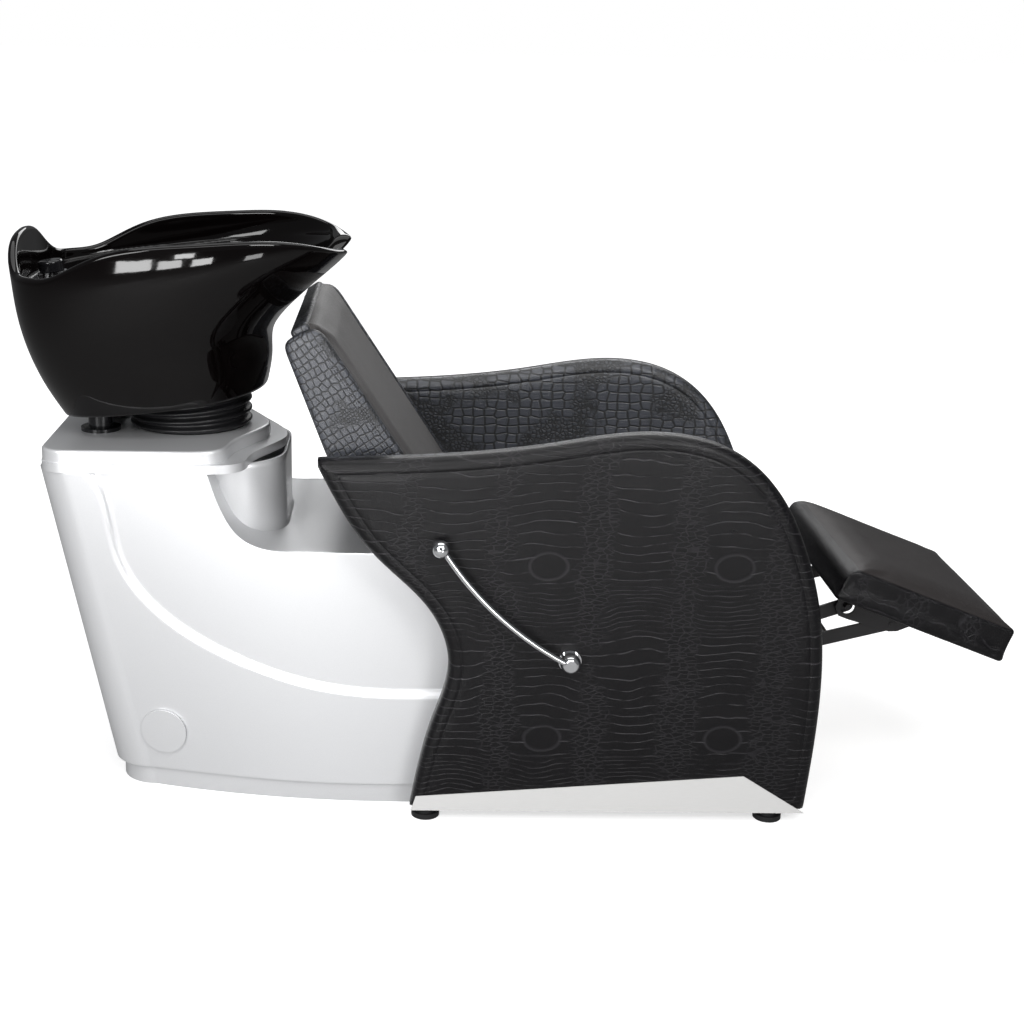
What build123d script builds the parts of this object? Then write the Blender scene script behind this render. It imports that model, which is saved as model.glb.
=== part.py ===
from build123d import *
from math import cos, pi, radians, sin
import os

# Shampoo backwash unit: a reclining wash seat and a tilting ceramic basin on one pedestal.
# Millimetres. +X runs from the basin to the footrest, -Y is the lever side, +Z is up.
# The origin is on the floor, on the centre plane, halfway along the unit with the footrest out.
# The part is written with the footrest out and the basin leaning back on its stops.

os.makedirs("parts", exist_ok=True)

# ---- driving dimensions -------------------------------------------------------------------
ARM_Y = 298.0            # centre plane of each side panel
ARM_T = 52.0             # thickness of an upholstered side panel
BOARD_T = 18.0           # plywood core of a side panel
PANEL_Z = 20.0           # underside of the side panels, on top of the levelling feet
FOOT_X = (-141.0, 447.0) # levelling feet along X
GAP = 0.3                # gap between soft parts and what they lie on

SEAT_HALF = 268.0        # half width of the seat cushion
SEAT_X = (-40.0, 484.0)  # seat board, back to front
SEAT_Z = 392.0           # top of the seat board
SEAT_PAD = 72.0          # seat cushion thickness
APRON_X = (462.0, 475.0) # padded rail under the seat's front edge
NOTCH_Y = (145.0, 172.0) # where footrest links and brackets pass board and apron

BACK_FOOT = (-58.0, 432.0)   # lowest point of the backrest's front face in X, Z
BACK_LEAN = 33.5             # backrest angle from vertical
BACK_LENGTH = 480.0          # backrest height along its face
BACK_HALF = 248.0            # half width over the wings
WING_W = 24.0                # width of one backrest wing
ROLL_DEPTH = 50.0            # how far the pad's top reaches back over the board
FOAM_T = 46.0                # foam in front of the backrest's board
LEAN_BOARD_T = 18.0          # plywood of the backrest

PED_FRONT = -60.0        # front end of the pedestal shell, under the seat
PED_TOP = 575.0          # top of the pedestal's rear part
PED_WALL = 5.0           # shell thickness
LEDGE = 8.0              # how far the lower panel of the pedestal stands proud
LOWER_DECK = 446.0       # saddle surface between pedestal head and seat
PLINTH_H = 36.0          # height of the recessed plinth
COLUMN_NOSE = -390.0     # front of the rounded column
COLLAR_Z = (575.0, 590.0)
DECK_Z = (590.0, 612.0)
DECK_BACK = -790.0
DECK_HALF = 210.0

BASIN_BASE = (-510.0, 680.0)  # front third of the basin's foot in X, Z: origin of the basin frame
BASIN_LEAN = 7.0              # backward lean of the basin on its stops
TILT_AXIS = (-512.0, 652.0)   # basin hinge axis in X, Z
BELLOWS_X = -562.0
BELLOWS_R = 104.0
PIPE_HOLE_XY = (-600.0, 0.0)
PIPE_HOLE_R = 54.0
DRAIN = (-95.0, 0.0)          # drain hole in the basin frame, X, Y
DRAIN_R = 22.0
TAP = (-255.0, -20.0)         # tap hole in the basin frame, X, Y
TAP_R = 17.0
TAP_LEDGE = 226.0             # height of the tap ledge in the basin frame
NOTCH_R = 92.0                # radius of the neck rest

LINK = 175.0             # pivot to pivot, lower footrest links
UPPER_LINK = 133.0       # pivot to pivot, upper footrest links
LINK_W = 24.0
LINK_T = 5.0
PIN_R = 5.0
PIN_FIT = 0.05           # radial running fit of pins in links
LOWER_PIVOT = (330.0, 290.0)
UPPER_PIVOT = (340.0, 335.0)
LOWER_DOWN = 9.5066      # lower rear link, degrees below horizontal, footrest out
LOWER_UP = 14.5294       # lower front link, degrees above horizontal
UPPER_DOWN = 18.6638
UPPER_UP = 19.2104
LINK_Y = 150.0           # inner face of the lower rear links
REST_END = (551.0, 370.0)    # rear end of the footrest's underside, X, Z
REST_DROP = 21.0             # downward slope of the footrest when out
REST_LENGTH = 336.0
REST_T = 66.0
REST_HALF = 220.0

LUG_Y = -98.0            # lowest Y of the torque tube's lug, the drive rod and the crank
ROD_Y = -104.0
CRANK_Y = -110.0
LEVER_HUB = (93.0, 295.0)
LEVER_REACH = 294.0
LEVER_ANGLE = 137.5      # hub to ball, degrees up from +X, footrest out
SHAFT_R = 9.0
CRANK = 60.0
CRANK_ANGLE = 200.0      # direction of crank and lug from +X
HUB_R = 17.0             # domed boss on the lever shaft
BUSH_FLANGE_R = 19.0
LEVER_BALL_R = 15.0


# ---- helpers ------------------------------------------------------------------------------
def block(x, y, z):
    """A box given by its lowest and highest X, Y and Z."""
    size = (x[1] - x[0], y[1] - y[0], z[1] - z[0])
    centre = ((x[0] + x[1]) / 2, (y[0] + y[1]) / 2, (z[0] + z[1]) / 2)
    return Pos(*centre) * Box(*size)


def slab(face, y0, y1):
    """A face drawn in X, Z, extruded from y0 to y1."""
    return extrude(Plane.XZ.offset(-y1) * face, y1 - y0)


def rod_y(x, z, radius, y0, y1):
    """A round bar along Y."""
    return Pos(x, (y0 + y1) / 2, z) * Rot(90, 0, 0) * Cylinder(radius, y1 - y0)


def rod_z(x, y, radius, z0, z1):
    """A round bar along Z."""
    return Pos(x, y, (z0 + z1) / 2) * Cylinder(radius, z1 - z0)


def both_sides(shape):
    """The shape and its mirror image across the centre plane."""
    return shape + mirror(shape, Plane.XZ)


def polar(start, length, degrees_up):
    """The point at a distance and an angle above +X from a point in X, Z."""
    angle = radians(degrees_up)
    return (start[0] + length * cos(angle), start[1] + length * sin(angle))


def save(shape, node):
    export_step(shape, f"parts/{node}.step")


# ---- side panels --------------------------------------------------------------------------
def panel_face():
    """Outline of an upholstered side panel in X, Z: arm crest, front edge and swept rear edge."""
    crest = Spline(
        (-322, 628), (-150, 635), (50, 656), (206, 677), (334, 654),
        (408, 600), (467, 502), (508, 364), (518, 240), (506, PANEL_Z),
    )
    base = Line((506, PANEL_Z), (-168, PANEL_Z))
    rear = Spline(
        (-168, PANEL_Z), (-132, 179), (-107, 275), (-139, 374), (-230, 468), (-322, 616),
    )
    tip = Line((-322, 616), (-322, 628))
    return make_face([crest, base, rear, tip])


def core_face(grow=0.0):
    """Outline of the plywood core, well inside the upholstery's outline."""
    core = make_face(Polyline(
        (-262, 596), (-150, 608), (50, 630), (206, 650), (318, 628), (386, 578), (442, 488),
        (482, 360), (492, 240), (482, 44), (-146, 44), (-108, 179), (-80, 278), (-115, 388),
        (-208, 488), close=True,
    ))
    return offset(core, grow, kind=Kind.INTERSECTION) if grow else core


def side_board(y):
    core = core_face()
    board = slab(core, y - BOARD_T / 2, y + BOARD_T / 2)
    if y < 0:
        board -= rod_y(*LEVER_HUB, SHAFT_R + 5, y - ARM_T, y + ARM_T)
    return board - panel_bolts()


def arm_pad(y):
    core = core_face(GAP)
    pad = slab(panel_face(), y - ARM_T / 2, y + ARM_T / 2)
    pad -= slab(core, y - BOARD_T / 2 - GAP, y + BOARD_T / 2 + GAP)
    if y < 0:
        pad -= rod_y(*LEVER_HUB, SHAFT_R + 8, y - ARM_T, y + ARM_T)
    return pad - panel_bolts()


def kick_plate(side):
    """Stainless plate along the bottom of a side panel, cut off at a slant at the front."""
    outline = make_face(Polyline(
        (-166, PANEL_Z), (504, PANEL_Z), (396, 88), (-158, 46), close=True,
    ))
    inner = ARM_Y + ARM_T / 2 + GAP
    plate = slab(outline, inner, inner + 1.5)
    return plate if side > 0 else mirror(plate, Plane.XZ)


def levelling_feet():
    feet = Part()
    for x in FOOT_X:
        for y in (-ARM_Y, ARM_Y):
            pad = rod_z(x, y, 24, 0, 9) + rod_z(x, y, 19, 9, 14)
            feet += pad + rod_z(x, y, 6, 14, PANEL_Z)
    return feet


# ---- steel frame --------------------------------------------------------------------------
FRAME_Z = (42.0, 72.0)
RAIL_Y = 172.0           # floor rails
RAIL_W = 30.0
CROSS_X = (-590.0, -330.0, -38.0, 200.0, 440.0)
POST_X = (-38.0, 440.0)
POST_Y = 205.0           # seat posts and seat rails
BOLT_R = 4.0
ANCHOR_HOLE_R = 5.5


def base_frame():
    """Welded floor frame that ties pedestal, seat and side panels together."""
    frame = Part()
    half = RAIL_W / 2
    for y in (-RAIL_Y, RAIL_Y):
        frame += block((CROSS_X[0], CROSS_X[-1] + half), (y - half, y + half), FRAME_Z)
    for x in CROSS_X:
        reach = ARM_Y - ARM_T / 2 - GAP if x in CROSS_X[2:] else RAIL_Y
        frame += block((x - half, x + half), (-reach, reach), FRAME_Z)
    return frame + floor_anchor() - panel_bolts()


def floor_anchor():
    """Angle under the middle cross tube, drilled at the origin for a floor bolt."""
    back = CROSS_X[2] - RAIL_W / 2
    plate = block((back, 28), (-24, 24), (0, 5)) - rod_z(0, 0, ANCHOR_HOLE_R, -5, 10)
    return plate + block((back, back + 5), (-24, 24), (0, FRAME_Z[0]))


def seat_frame():
    """Posts and top rails that carry the seat board."""
    top = SEAT_Z - BOARD_T
    frame = Part()
    for y in (-POST_Y, POST_Y):
        for x in POST_X:
            frame += block((x - 12, x + 12), (y - 12, y + 12), (FRAME_Z[1], top))
        frame += block((POST_X[0] + 12, POST_X[1] + 12), (y - 12, y + 12), (top - 24, top))
    rear = POST_X[0]
    frame += block((rear - 12, rear + 12), (-POST_Y, POST_Y), (top - 24, top))
    return frame


def seat_board():
    """Plywood board, notched at the front where the footrest's brackets swing up."""
    board = block(SEAT_X, (-SEAT_HALF + 8, SEAT_HALF - 8), (SEAT_Z - BOARD_T, SEAT_Z))
    notch = block((APRON_X[1], SEAT_X[1] + 1), NOTCH_Y, (0, SEAT_Z + 1))
    return board - both_sides(notch)


def seat_cushion():
    """Foam block of the seat: level at the front, cut to the backrest's slope at the back."""
    top = SEAT_Z + SEAT_PAD
    profile = make_face(Polyline(
        (SEAT_X[0] + 6, SEAT_Z + GAP), (SEAT_X[1], SEAT_Z + GAP),
        (SEAT_X[1], top - 14), (SEAT_X[1] - 18, top),
        (-30, top - 14), (SEAT_X[0] + 14, SEAT_Z + 36), close=True,
    ))
    return slab(profile, -SEAT_HALF, SEAT_HALF)


def front_apron():
    """Padded rail under the seat's front edge, notched from below for the upper links."""
    rail = block(APRON_X, (-SEAT_HALF + 4, SEAT_HALF - 4), (338, SEAT_Z - BOARD_T - GAP))
    notch = block((APRON_X[0] - 1, APRON_X[1] + 1), NOTCH_Y, (300, 358))
    return rail - both_sides(notch)


# ---- backrest -----------------------------------------------------------------------------
def backrest_plane():
    """X runs up the backrest's face, Y is the unit's +Y, Z points out of the face."""
    lean = radians(BACK_LEAN)
    up = (-sin(lean), 0, cos(lean))
    out = (cos(lean), 0, sin(lean))
    return Plane(origin=(BACK_FOOT[0], 0, BACK_FOOT[1]), x_dir=up, z_dir=out)


def on_back(shape):
    return backrest_plane().location * shape


def backrest_board():
    """Plywood behind the backrest's foam, with the lower end wider for its brackets."""
    half = BACK_HALF - WING_W - 8
    depth = (-FOAM_T - LEAN_BOARD_T, -FOAM_T)
    return on_back(block((30, BACK_LENGTH - 26), (-half, half), depth))


def backrest_cushion():
    """Smooth centre pad, wrapped over the top of the board."""
    half = BACK_HALF - WING_W - GAP
    pad = block((0, BACK_LENGTH), (-half, half), (GAP - FOAM_T, 0))
    top = block((BACK_LENGTH - 24, BACK_LENGTH + 14), (-half, half), (-ROLL_DEPTH, 0))
    return on_back(pad + top)


def back_wing(side):
    """Wedge-shaped side bolster: narrow at the top, deep where it meets the arm."""
    profile = make_face(Polyline(
        (24, 0), (BACK_LENGTH - 14, 0), (BACK_LENGTH + 4, -12), (BACK_LENGTH + 8, -66),
        (297, -109), (200, -127), (108, -126), close=True,
    ))
    outer = side * BACK_HALF
    inner = side * (BACK_HALF - WING_W)
    plane = backrest_plane()
    wing_plane = Plane(origin=plane.origin + plane.y_dir * max(inner, outer),
                       x_dir=plane.x_dir, z_dir=-plane.y_dir)
    return extrude(wing_plane * profile, WING_W)


def back_brackets():
    """Two bent steel straps from the seat frame's rear rail up the back of the board."""
    straps = Part()
    top = SEAT_Z - BOARD_T
    for y in (-150.0, 150.0):
        rise = on_back(block((20, 330), (y - 20, y + 20), (-70, -64.3)))
        foot = block((-150, SEAT_X[0] - 1), (y - 20, y + 20), (top, top + 5.7))
        web = block((-126, -113), (y - 20, y + 20), (top, top + 34))
        straps += rise + foot + web
    return straps


# ---- pedestal -----------------------------------------------------------------------------
def pedestal_outline(z, back_x, back_half, front_half, corner, inset=0.0):
    """Plan outline of the pedestal: straight back, round corners, sides that widen forward."""
    b = back_x + inset
    h = back_half - inset
    f = front_half - inset
    r = corner - inset / 2
    mid = (b + r + PED_FRONT) / 2
    arc = r * sin(radians(45))
    side = Spline((PED_FRONT, -f), (mid, -f + 3), (b + r, -h))
    turn = ThreePointArc((b + r, -h), (b + r - arc, -h + r - arc), (b, -h + r))
    back = Line((b, -h + r), (b, h - r))
    turn_far = ThreePointArc((b, h - r), (b + r - arc, h - r + arc), (b + r, h))
    side_far = Spline((b + r, h), (mid, f - 3), (PED_FRONT, f))
    front = Line((PED_FRONT, f), (PED_FRONT, -f))
    outline = make_face([side, turn, back, turn_far, side_far, front])
    return Pos(0, 0, z) * outline


def scoop_face():
    """Region in X, Z above the lower deck, in front of the pedestal's head."""
    curve = Spline(
        (-511, PED_TOP), (-503, 549), (-486, 507), (-460, 470), (-420, 450), (-360, LOWER_DECK),
    )
    top = PED_TOP + 60
    rest = Polyline(
        (-360, LOWER_DECK), (PED_FRONT + 20, LOWER_DECK), (PED_FRONT + 20, top),
        (-511, top), (-511, PED_TOP),
    )
    return make_face([curve, rest])


def pedestal_body(inset=0.0, top=PED_TOP, drop=0.0):
    low = pedestal_outline(PLINTH_H, -694, 200, 258, 70, inset)
    high = pedestal_outline(top, -796, 214, 232, 55, inset)
    body = loft([low, high], ruled=True)
    return body - Pos(0, 0, -drop) * slab(scoop_face(), -300, 300)


def ledge_face():
    """Lower region of the pedestal's side, under the swept ledge."""
    curve = Spline((-760, 600), (-705, 566), (-671, 438), (-591, 321), (-464, 248), (-328, 207),
                   (PED_FRONT - 1, 197))
    rest = Polyline((PED_FRONT - 1, 197), (PED_FRONT - 1, -10), (-860, -10), (-860, 600),
                    (-760, 600))
    return make_face([curve, rest])


def backrest_notch():
    """Region of the shell that the lower end of the backrest's pad and board takes up."""
    outline = make_face(Polyline(
        (-243, 480), (-228, LOWER_DECK), (-174, 352), (PED_FRONT + 20, 352),
        (PED_FRONT + 20, 480), close=True,
    ))
    half = BACK_HALF - WING_W + 0.5
    return slab(outline, -half, half)


def column(inset=0.0, z0=LOWER_DECK - 12, z1=PED_TOP):
    """Rounded column that rises from the lower deck to the collar."""
    nose = COLUMN_NOSE - inset
    half = 150 - inset
    r = 95 - inset
    plan = Polyline((nose - r, -half), (-640, -half), (-640, half), (nose - r, half))
    arc = r * sin(radians(45))
    turn = ThreePointArc((nose - r, -half), (nose - r + arc, -half + r - arc), (nose, -half + r))
    front = Line((nose, -half + r), (nose, half - r))
    turn_far = ThreePointArc((nose, half - r), (nose - r + arc, half - r + arc), (nose - r, half))
    return Pos(0, 0, z0) * extrude(make_face([plan, turn, front, turn_far]), z1 - z0)


def pedestal_shell():
    """Moulded shell: side walls with the proud lower panel, lower deck, column and top."""
    outer = pedestal_body(LEDGE) + (pedestal_body(0) & slab(ledge_face(), -300, 300))
    outer += column()
    inner = pedestal_body(LEDGE + PED_WALL, drop=PED_WALL)
    inner += column(PED_WALL, LOWER_DECK - 40, PED_TOP - PED_WALL)
    inner &= block((-900, PED_FRONT + 10), (-400, 400), (0, PED_TOP - PED_WALL))
    front_gap = block((PED_FRONT - 30, PED_FRONT + 10), (-219, 219), (PLINTH_H - 5, LOWER_DECK - 5))
    shell = outer - inner - front_gap - backrest_notch()
    return shell - pipe_hole() - access_opening(0)


def pipe_hole():
    """Hole through head and deck for the waste hose and the supply hoses."""
    return rod_z(*PIPE_HOLE_XY, PIPE_HOLE_R, PED_TOP - 40, DECK_Z[1] + 10)


def access_opening(clearance):
    """Window in the pedestal's back, behind the plumbing."""
    x = (-900, -700)
    y = (-120 + clearance, 120 - clearance)
    z = (130 + clearance, 430 - clearance)
    return block(x, y, z)


def rear_access_panel():
    """Pressed cover that fills the window in the pedestal's sloping back."""
    return (pedestal_body(0) - pedestal_body(PED_WALL)) & access_opening(0.5)


def pedestal_plinth():
    """Recessed plinth ring that stands on the floor."""
    outer = extrude(pedestal_outline(0, -680, 192, 250, 62), PLINTH_H)
    inner = extrude(pedestal_outline(0, -680, 192, 250, 62, 12), PLINTH_H)
    inner += block((PED_FRONT - 15, PED_FRONT + 5), (-238, 238), (0, PLINTH_H))
    return outer - inner


def side_cap(side):
    """Shallow domed cap over the pedestal's fixing screw."""
    layer = pedestal_body(-4) - pedestal_body(-GAP)
    cap = layer & rod_y(-597, 111, 40, -300, 0)
    return cap if side < 0 else mirror(cap, Plane.XZ)


def d_plate(nose, half, start, z0, z1):
    """D-shaped plate: straight back, straight sides, rounded nose."""
    r = 40
    arc = r * sin(radians(45))
    b = DECK_BACK
    side = Line((start, -half), (b + r, -half))
    turn = ThreePointArc((b + r, -half), (b + r - arc, -half + r - arc), (b, -half + r))
    back = Line((b, -half + r), (b, half - r))
    turn_far = ThreePointArc((b, half - r), (b + r - arc, half - r + arc), (b + r, half))
    side_far = Line((b + r, half), (start, half))
    round_nose = Spline(
        (start, half), (nose - 52, half * 0.66), (nose, 0), (nose - 52, -half * 0.66),
        (start, -half), tangents=((1, 0), (-1, 0)),
    )
    plan = make_face([side, turn, back, turn_far, side_far, round_nose])
    return Pos(0, 0, z0) * extrude(plan, z1 - z0)


def deck_collar():
    return d_plate(-394, DECK_HALF + 6, -530, *COLLAR_Z) - pipe_hole()


def deck_plate():
    plate = d_plate(-424, DECK_HALF, -548, *DECK_Z)
    plate = fillet(plate.edges().filter_by(Plane.XY).group_by(Axis.Z)[-1], 5)
    return plate - pipe_hole()


# ---- basin --------------------------------------------------------------------------------
def basin_location():
    return Pos(BASIN_BASE[0], 0, BASIN_BASE[1]) * Rot(0, -BASIN_LEAN, 0)


def in_basin(shape):
    """Moves a shape drawn in the basin's own level frame to its place on the unit."""
    return basin_location() * shape


def egg(z, back, front, half, inset=0.0, points=36):
    """Closed section at height z: boxy and narrower at the back, oval towards the neck."""
    b = back + inset
    f = front - inset
    h = half - inset
    middle = b + (f - b) * 0.48
    ring = []
    for i in range(points):
        t = 2 * pi * (i + 0.5) / points
        c, s = cos(t), sin(t)
        power = 2 / 2.35 if c > 0 else 2 / 5
        along = abs(c) ** power
        x = middle + (f - middle) * along if c > 0 else middle - (middle - b) * along
        wide = h if c > 0 else h * (1 - BACK_TAPER * along * along)
        y = wide * (1 if s > 0 else -1) * abs(s) ** power
        ring.append((x, y))
    return Pos(0, 0, z) * make_face([Spline(*ring, periodic=True)])


# sections of the ceramic: height, back, front, half width
BASIN_SECTIONS = (
    (0, -262, 84, 174), (45, -280, 97, 196), (95, -295, 108, 213),
    (145, -304, 160, 228), (195, -307, 234, 240), (235, -306, 284, 247), (320, -307, 294, 250),
)
BOWL_SECTIONS = (
    (42, -140, 20, 90), (70, -186, 68, 158), (110, -202, 96, 190),
    (150, -210, 140, 208), (200, -215, 208, 222), (240, -218, 256, 231), (330, -220, 272, 237),
)
FOOT_WALL = 14.0         # wall around the hollow under the bowl
BACK_TAPER = 0.2         # how much narrower the basin is at its very back


def rim_region():
    """Region in X, Z under the rim's side view: low at the taps, crowned, low at the neck."""
    rim = Spline(
        (-340, 249), (-280, 248), (-228, 244), (-190, 255), (-142, 271), (-63, 280),
        (35, 276), (190, 255), (262, 228), (330, 206),
    )
    rest = Polyline((330, 206), (330, -20), (-340, -20), (-340, 249))
    return make_face([rim, rest])


def splash_region():
    """Arched splash wall behind the taps, in Y, Z."""
    arch = Spline((-176, 240), (-152, 262), (-90, 299), (0, 310), (90, 299), (152, 262), (176, 240))
    rest = Polyline((176, 240), (300, 240), (300, 100), (-300, 100), (-300, 240), (-176, 240))
    return make_face([arch, rest])


def basin():
    """Ceramic basin: foot, bowl, tap ledge, splash wall and neck rest, with drain and tap holes."""
    body = loft([egg(*row) for row in BASIN_SECTIONS])
    splash_zone = extrude(Plane.YZ.offset(-340) * splash_region(), 340 - 262)
    keep = slab(rim_region(), -300, 300) + splash_zone
    body &= keep
    bowl = loft([egg(*row) for row in BOWL_SECTIONS])
    ledge = loft([egg(TAP_LEDGE, -281, -120, 214), egg(330, -284, -120, 218)])
    body -= bowl
    body -= ledge
    neck = Pos(240, 0, 262) * Rot(0, 90, 0) * Cylinder(NOTCH_R, 190)
    body -= neck
    body -= rod_z(*DRAIN, DRAIN_R, -30, 80)
    body -= rod_z(*TAP, TAP_R, 100, 240)
    return in_basin(body - foot_hollow())


def foot_hollow():
    """Hollow of the ceramic between its outer wall and the bowl, open underneath."""
    low, *upper = BASIN_SECTIONS
    sections = [egg(low[0] - 1, *low[1:], FOOT_WALL)] + [egg(*row, FOOT_WALL) for row in upper]
    hollow = loft(sections) & block((-300, 60), (-172, 172), (-2, TAP_LEDGE - FOOT_WALL))
    (z, *first), *rest = BOWL_SECTIONS
    bowl = loft([egg(z - FOOT_WALL, *first, -FOOT_WALL)] + [egg(*row, -FOOT_WALL) for row in rest])
    return hollow - bowl


def basin_mount_plate():
    """Steel plate under the basin's foot with the upper hinge leaf."""
    plate = in_basin(block((-48, 12), (-50, 50), (-7, -GAP)))
    x, z = TILT_AXIS
    for y in (-40, 40):
        plate += block((x - 10, x + 10), (y - 4, y + 4), (z, z + 24)) + rod_y(x, z, 10, y - 4, y + 4)
    return plate - rod_y(x, z, 6 + PIN_FIT, -90, 90)


def hinge_bracket():
    """Lower hinge leaf, bolted to the deck plate."""
    x, z = TILT_AXIS
    bracket = block((x - 22, x + 22), (-50, 50), (DECK_Z[1], DECK_Z[1] + 6))
    for y in (-30, 30):
        bracket += block((x - 10, x + 10), (y - 4, y + 4), (DECK_Z[1], z)) + rod_y(x, z, 10, y - 4, y + 4)
    return bracket - rod_y(x, z, 6, -90, 90)


def tilt_pin():
    x, z = TILT_AXIS
    return rod_y(x, z, 6, -48, 48) + rod_y(x, z, 9, -51, -48)


STOP_XY = (-712.0, 60.0)


def tilt_stops():
    """Two flanged buffers that carry the basin's rear edge."""
    x, y = STOP_XY
    post = rod_z(x, y, 34, DECK_Z[1], DECK_Z[1] + 6) + rod_z(x, y, 21, DECK_Z[1], BASIN_BASE[1])
    return both_sides(post & under_foot())


def under_foot():
    """Everything just below the plane of the basin's foot."""
    return in_basin(block((-400, 400), (-250, 250), (-200, -GAP)))


def bellows():
    """Rubber bellows between deck and basin foot, with four convolutions."""
    folds = 4
    low = DECK_Z[1] + GAP
    profile = [(BELLOWS_R - 8, 0), (BELLOWS_R, 0)]
    height = 46.0
    pitch = height / folds
    for i in range(folds):
        profile += [(BELLOWS_R + 4, pitch * (i + 0.3)), (BELLOWS_R + 4, pitch * (i + 0.6)),
                    (BELLOWS_R - 5, pitch * (i + 0.95))]
    profile += [(BELLOWS_R - 12, height)]
    profile += [(r - 7, z) for r, z in reversed(profile[2:-1])]
    ring = Plane.XZ * make_face(Polyline(*profile, close=True))
    solid = Pos(BELLOWS_X, 0, low) * revolve(ring, Axis.Z)
    return solid & under_foot()


# ---- plumbing -----------------------------------------------------------------------------
def drain_point(z):
    """World position of a point on the drain axis at height z of the basin frame."""
    return (basin_location() * Pos(DRAIN[0], DRAIN[1], z)).position


def waste_flange():
    ring = rod_z(*DRAIN, 30, 24, 27) - rod_z(*DRAIN, 15.5, 0, 50)
    tube = rod_z(*DRAIN, DRAIN_R - 1, -14, 24) - rod_z(*DRAIN, 15.5, -20, 50)
    return in_basin(ring + tube)


def strainer():
    """Lift-out hair strainer in the drain."""
    cup = rod_z(*DRAIN, 15, 10, 27.5) - rod_z(*DRAIN, 13.5, 11.5, 26)
    cup += rod_z(*DRAIN, 3, 26, 34)
    for i in range(8):
        angle = 2 * pi * i / 8
        cup -= rod_z(DRAIN[0] + 9 * cos(angle), DRAIN[1] + 9 * sin(angle), 2, 0, 40)
    return in_basin(cup)


def tailpiece():
    nut = rod_z(*DRAIN, 28, -30, -14) - rod_z(*DRAIN, 17, -40, 0)
    pipe = rod_z(*DRAIN, 17, -62, -14) - rod_z(*DRAIN, 15, -70, 0)
    return in_basin(nut + pipe)


TRAP_X = -600.0
TRAP_TOP = 505.0


def drain_hose():
    """Flexible hose from the tailpiece down to the trap."""
    start = drain_point(-44)
    path = Spline(
        (start.X, 0, start.Z), (TRAP_X, 0, TRAP_TOP - 20),
        tangents=((sin(radians(BASIN_LEAN)), 0, -cos(radians(BASIN_LEAN))), (0, 0, -1)),
    )
    outer = sweep(Plane(origin=path @ 0, z_dir=path % 0) * Circle(21.5), path=path)
    inner = sweep(Plane(origin=path @ 0, z_dir=path % 0) * Circle(18), path=path)
    return outer - inner


def swept_pipe(points, radius, bend, bore=0.0):
    """A pipe along a polyline whose corners are rounded to a bend radius."""
    path = FilletPolyline(*points, radius=bend)
    start = Plane(origin=path @ 0, z_dir=path % 0)
    ring = Circle(radius) - Circle(bore) if bore else Circle(radius)
    return sweep(start * ring, path=path)


def trap():
    """P-trap with its outlet down to the floor."""
    x = TRAP_X
    return swept_pipe([
        (x, 0, TRAP_TOP), (x, 0, 330), (x + 110, 0, 330), (x + 110, 0, 420),
        (x + 200, 0, 420), (x + 200, 0, 0),
    ], 17, 36, 14.5)


VALVE_Y = 60.0


def stop_valves():
    """Hot and cold angle valves on stub pipes from the floor."""
    valves = Part()
    for y in (-VALVE_Y, VALVE_Y):
        valves += rod_z(-480, y, 8, 0, 150) + rod_z(-480, y, 14, 130, 165)
        valves += Pos(-500, y, 147) * Rot(0, 90, 0) * Cylinder(11, 40)
        valves += Pos(-452, y, 147) * Rot(0, 90, 0) * Cylinder(15, 16)
        valves += Pos(-465, y, 147) * Rot(0, 90, 0) * Cylinder(5, 20)
    return valves


def supply_hose(y):
    """Braided hose from an angle valve through bellows and basin foot to the tap."""
    inner = 34 if y > 0 else -34
    end = 9 if y > 0 else -9
    channel = [(-119, inner, 12), (-226, inner, 12), (-226, inner, 120),
               (TAP[0], TAP[1] + end, TAP_LEDGE - 70), (TAP[0], TAP[1] + end, TAP_LEDGE - 40.2)]
    upper = [in_basin(Pos(*p) * Box(1, 1, 1)).center() for p in channel]
    upper = [(p.X, p.Y, p.Z) for p in upper]
    riser = upper[0][0]
    lower = [(-521, y, 147), (-655, y, 147), (-655, y, 470), (riser, inner, 540)]
    return swept_pipe(lower + upper, 7, 16)


def tap_body():
    """Threaded tap body through the ledge, its back nut and a chrome collar."""
    stem = rod_z(*TAP, TAP_R - 1, TAP_LEDGE - 40, TAP_LEDGE)
    nut = rod_z(*TAP, 24, TAP_LEDGE - 34, TAP_LEDGE - 24)
    collar = rod_z(*TAP, 25, TAP_LEDGE + 0.2, TAP_LEDGE + 6)
    return in_basin(stem + nut + collar + rod_z(*TAP, 8, TAP_LEDGE, TAP_LEDGE + 16))


def tap_knob():
    knob = rod_z(*TAP, 21, TAP_LEDGE + 6.5, TAP_LEDGE + 26)
    knob -= rod_z(*TAP, 8 + PIN_FIT, TAP_LEDGE, TAP_LEDGE + 16.3)
    knob = fillet(knob.edges().group_by(Axis.Z)[-1], 5)
    return in_basin(knob)


# ---- footrest mechanism -------------------------------------------------------------------
def link_bar(a, b, y0, width=LINK_W, drilled=(True, True)):
    """A flat bar with round ends from pivot a to pivot b, drilled for running pins."""
    dx, dz = b[0] - a[0], b[1] - a[1]
    length = (dx * dx + dz * dz) ** 0.5
    plate = SlotCenterToCenter(length, width)
    angle = Plane.XZ.offset(-(y0 + LINK_T))
    middle = ((a[0] + b[0]) / 2, (a[1] + b[1]) / 2)
    turn = Vector(1, 0, 0).get_signed_angle(Vector(dx, dz, 0), Vector(0, 0, 1))
    sketch = angle * Pos(middle[0], middle[1]) * Rot(0, 0, turn) * plate
    bar = extrude(sketch, LINK_T)
    for (x, z), hole in zip((a, b), drilled):
        if hole:
            bar -= rod_y(x, z, PIN_R + PIN_FIT, y0 - 5, y0 + LINK_T + 5)
    return bar


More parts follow.
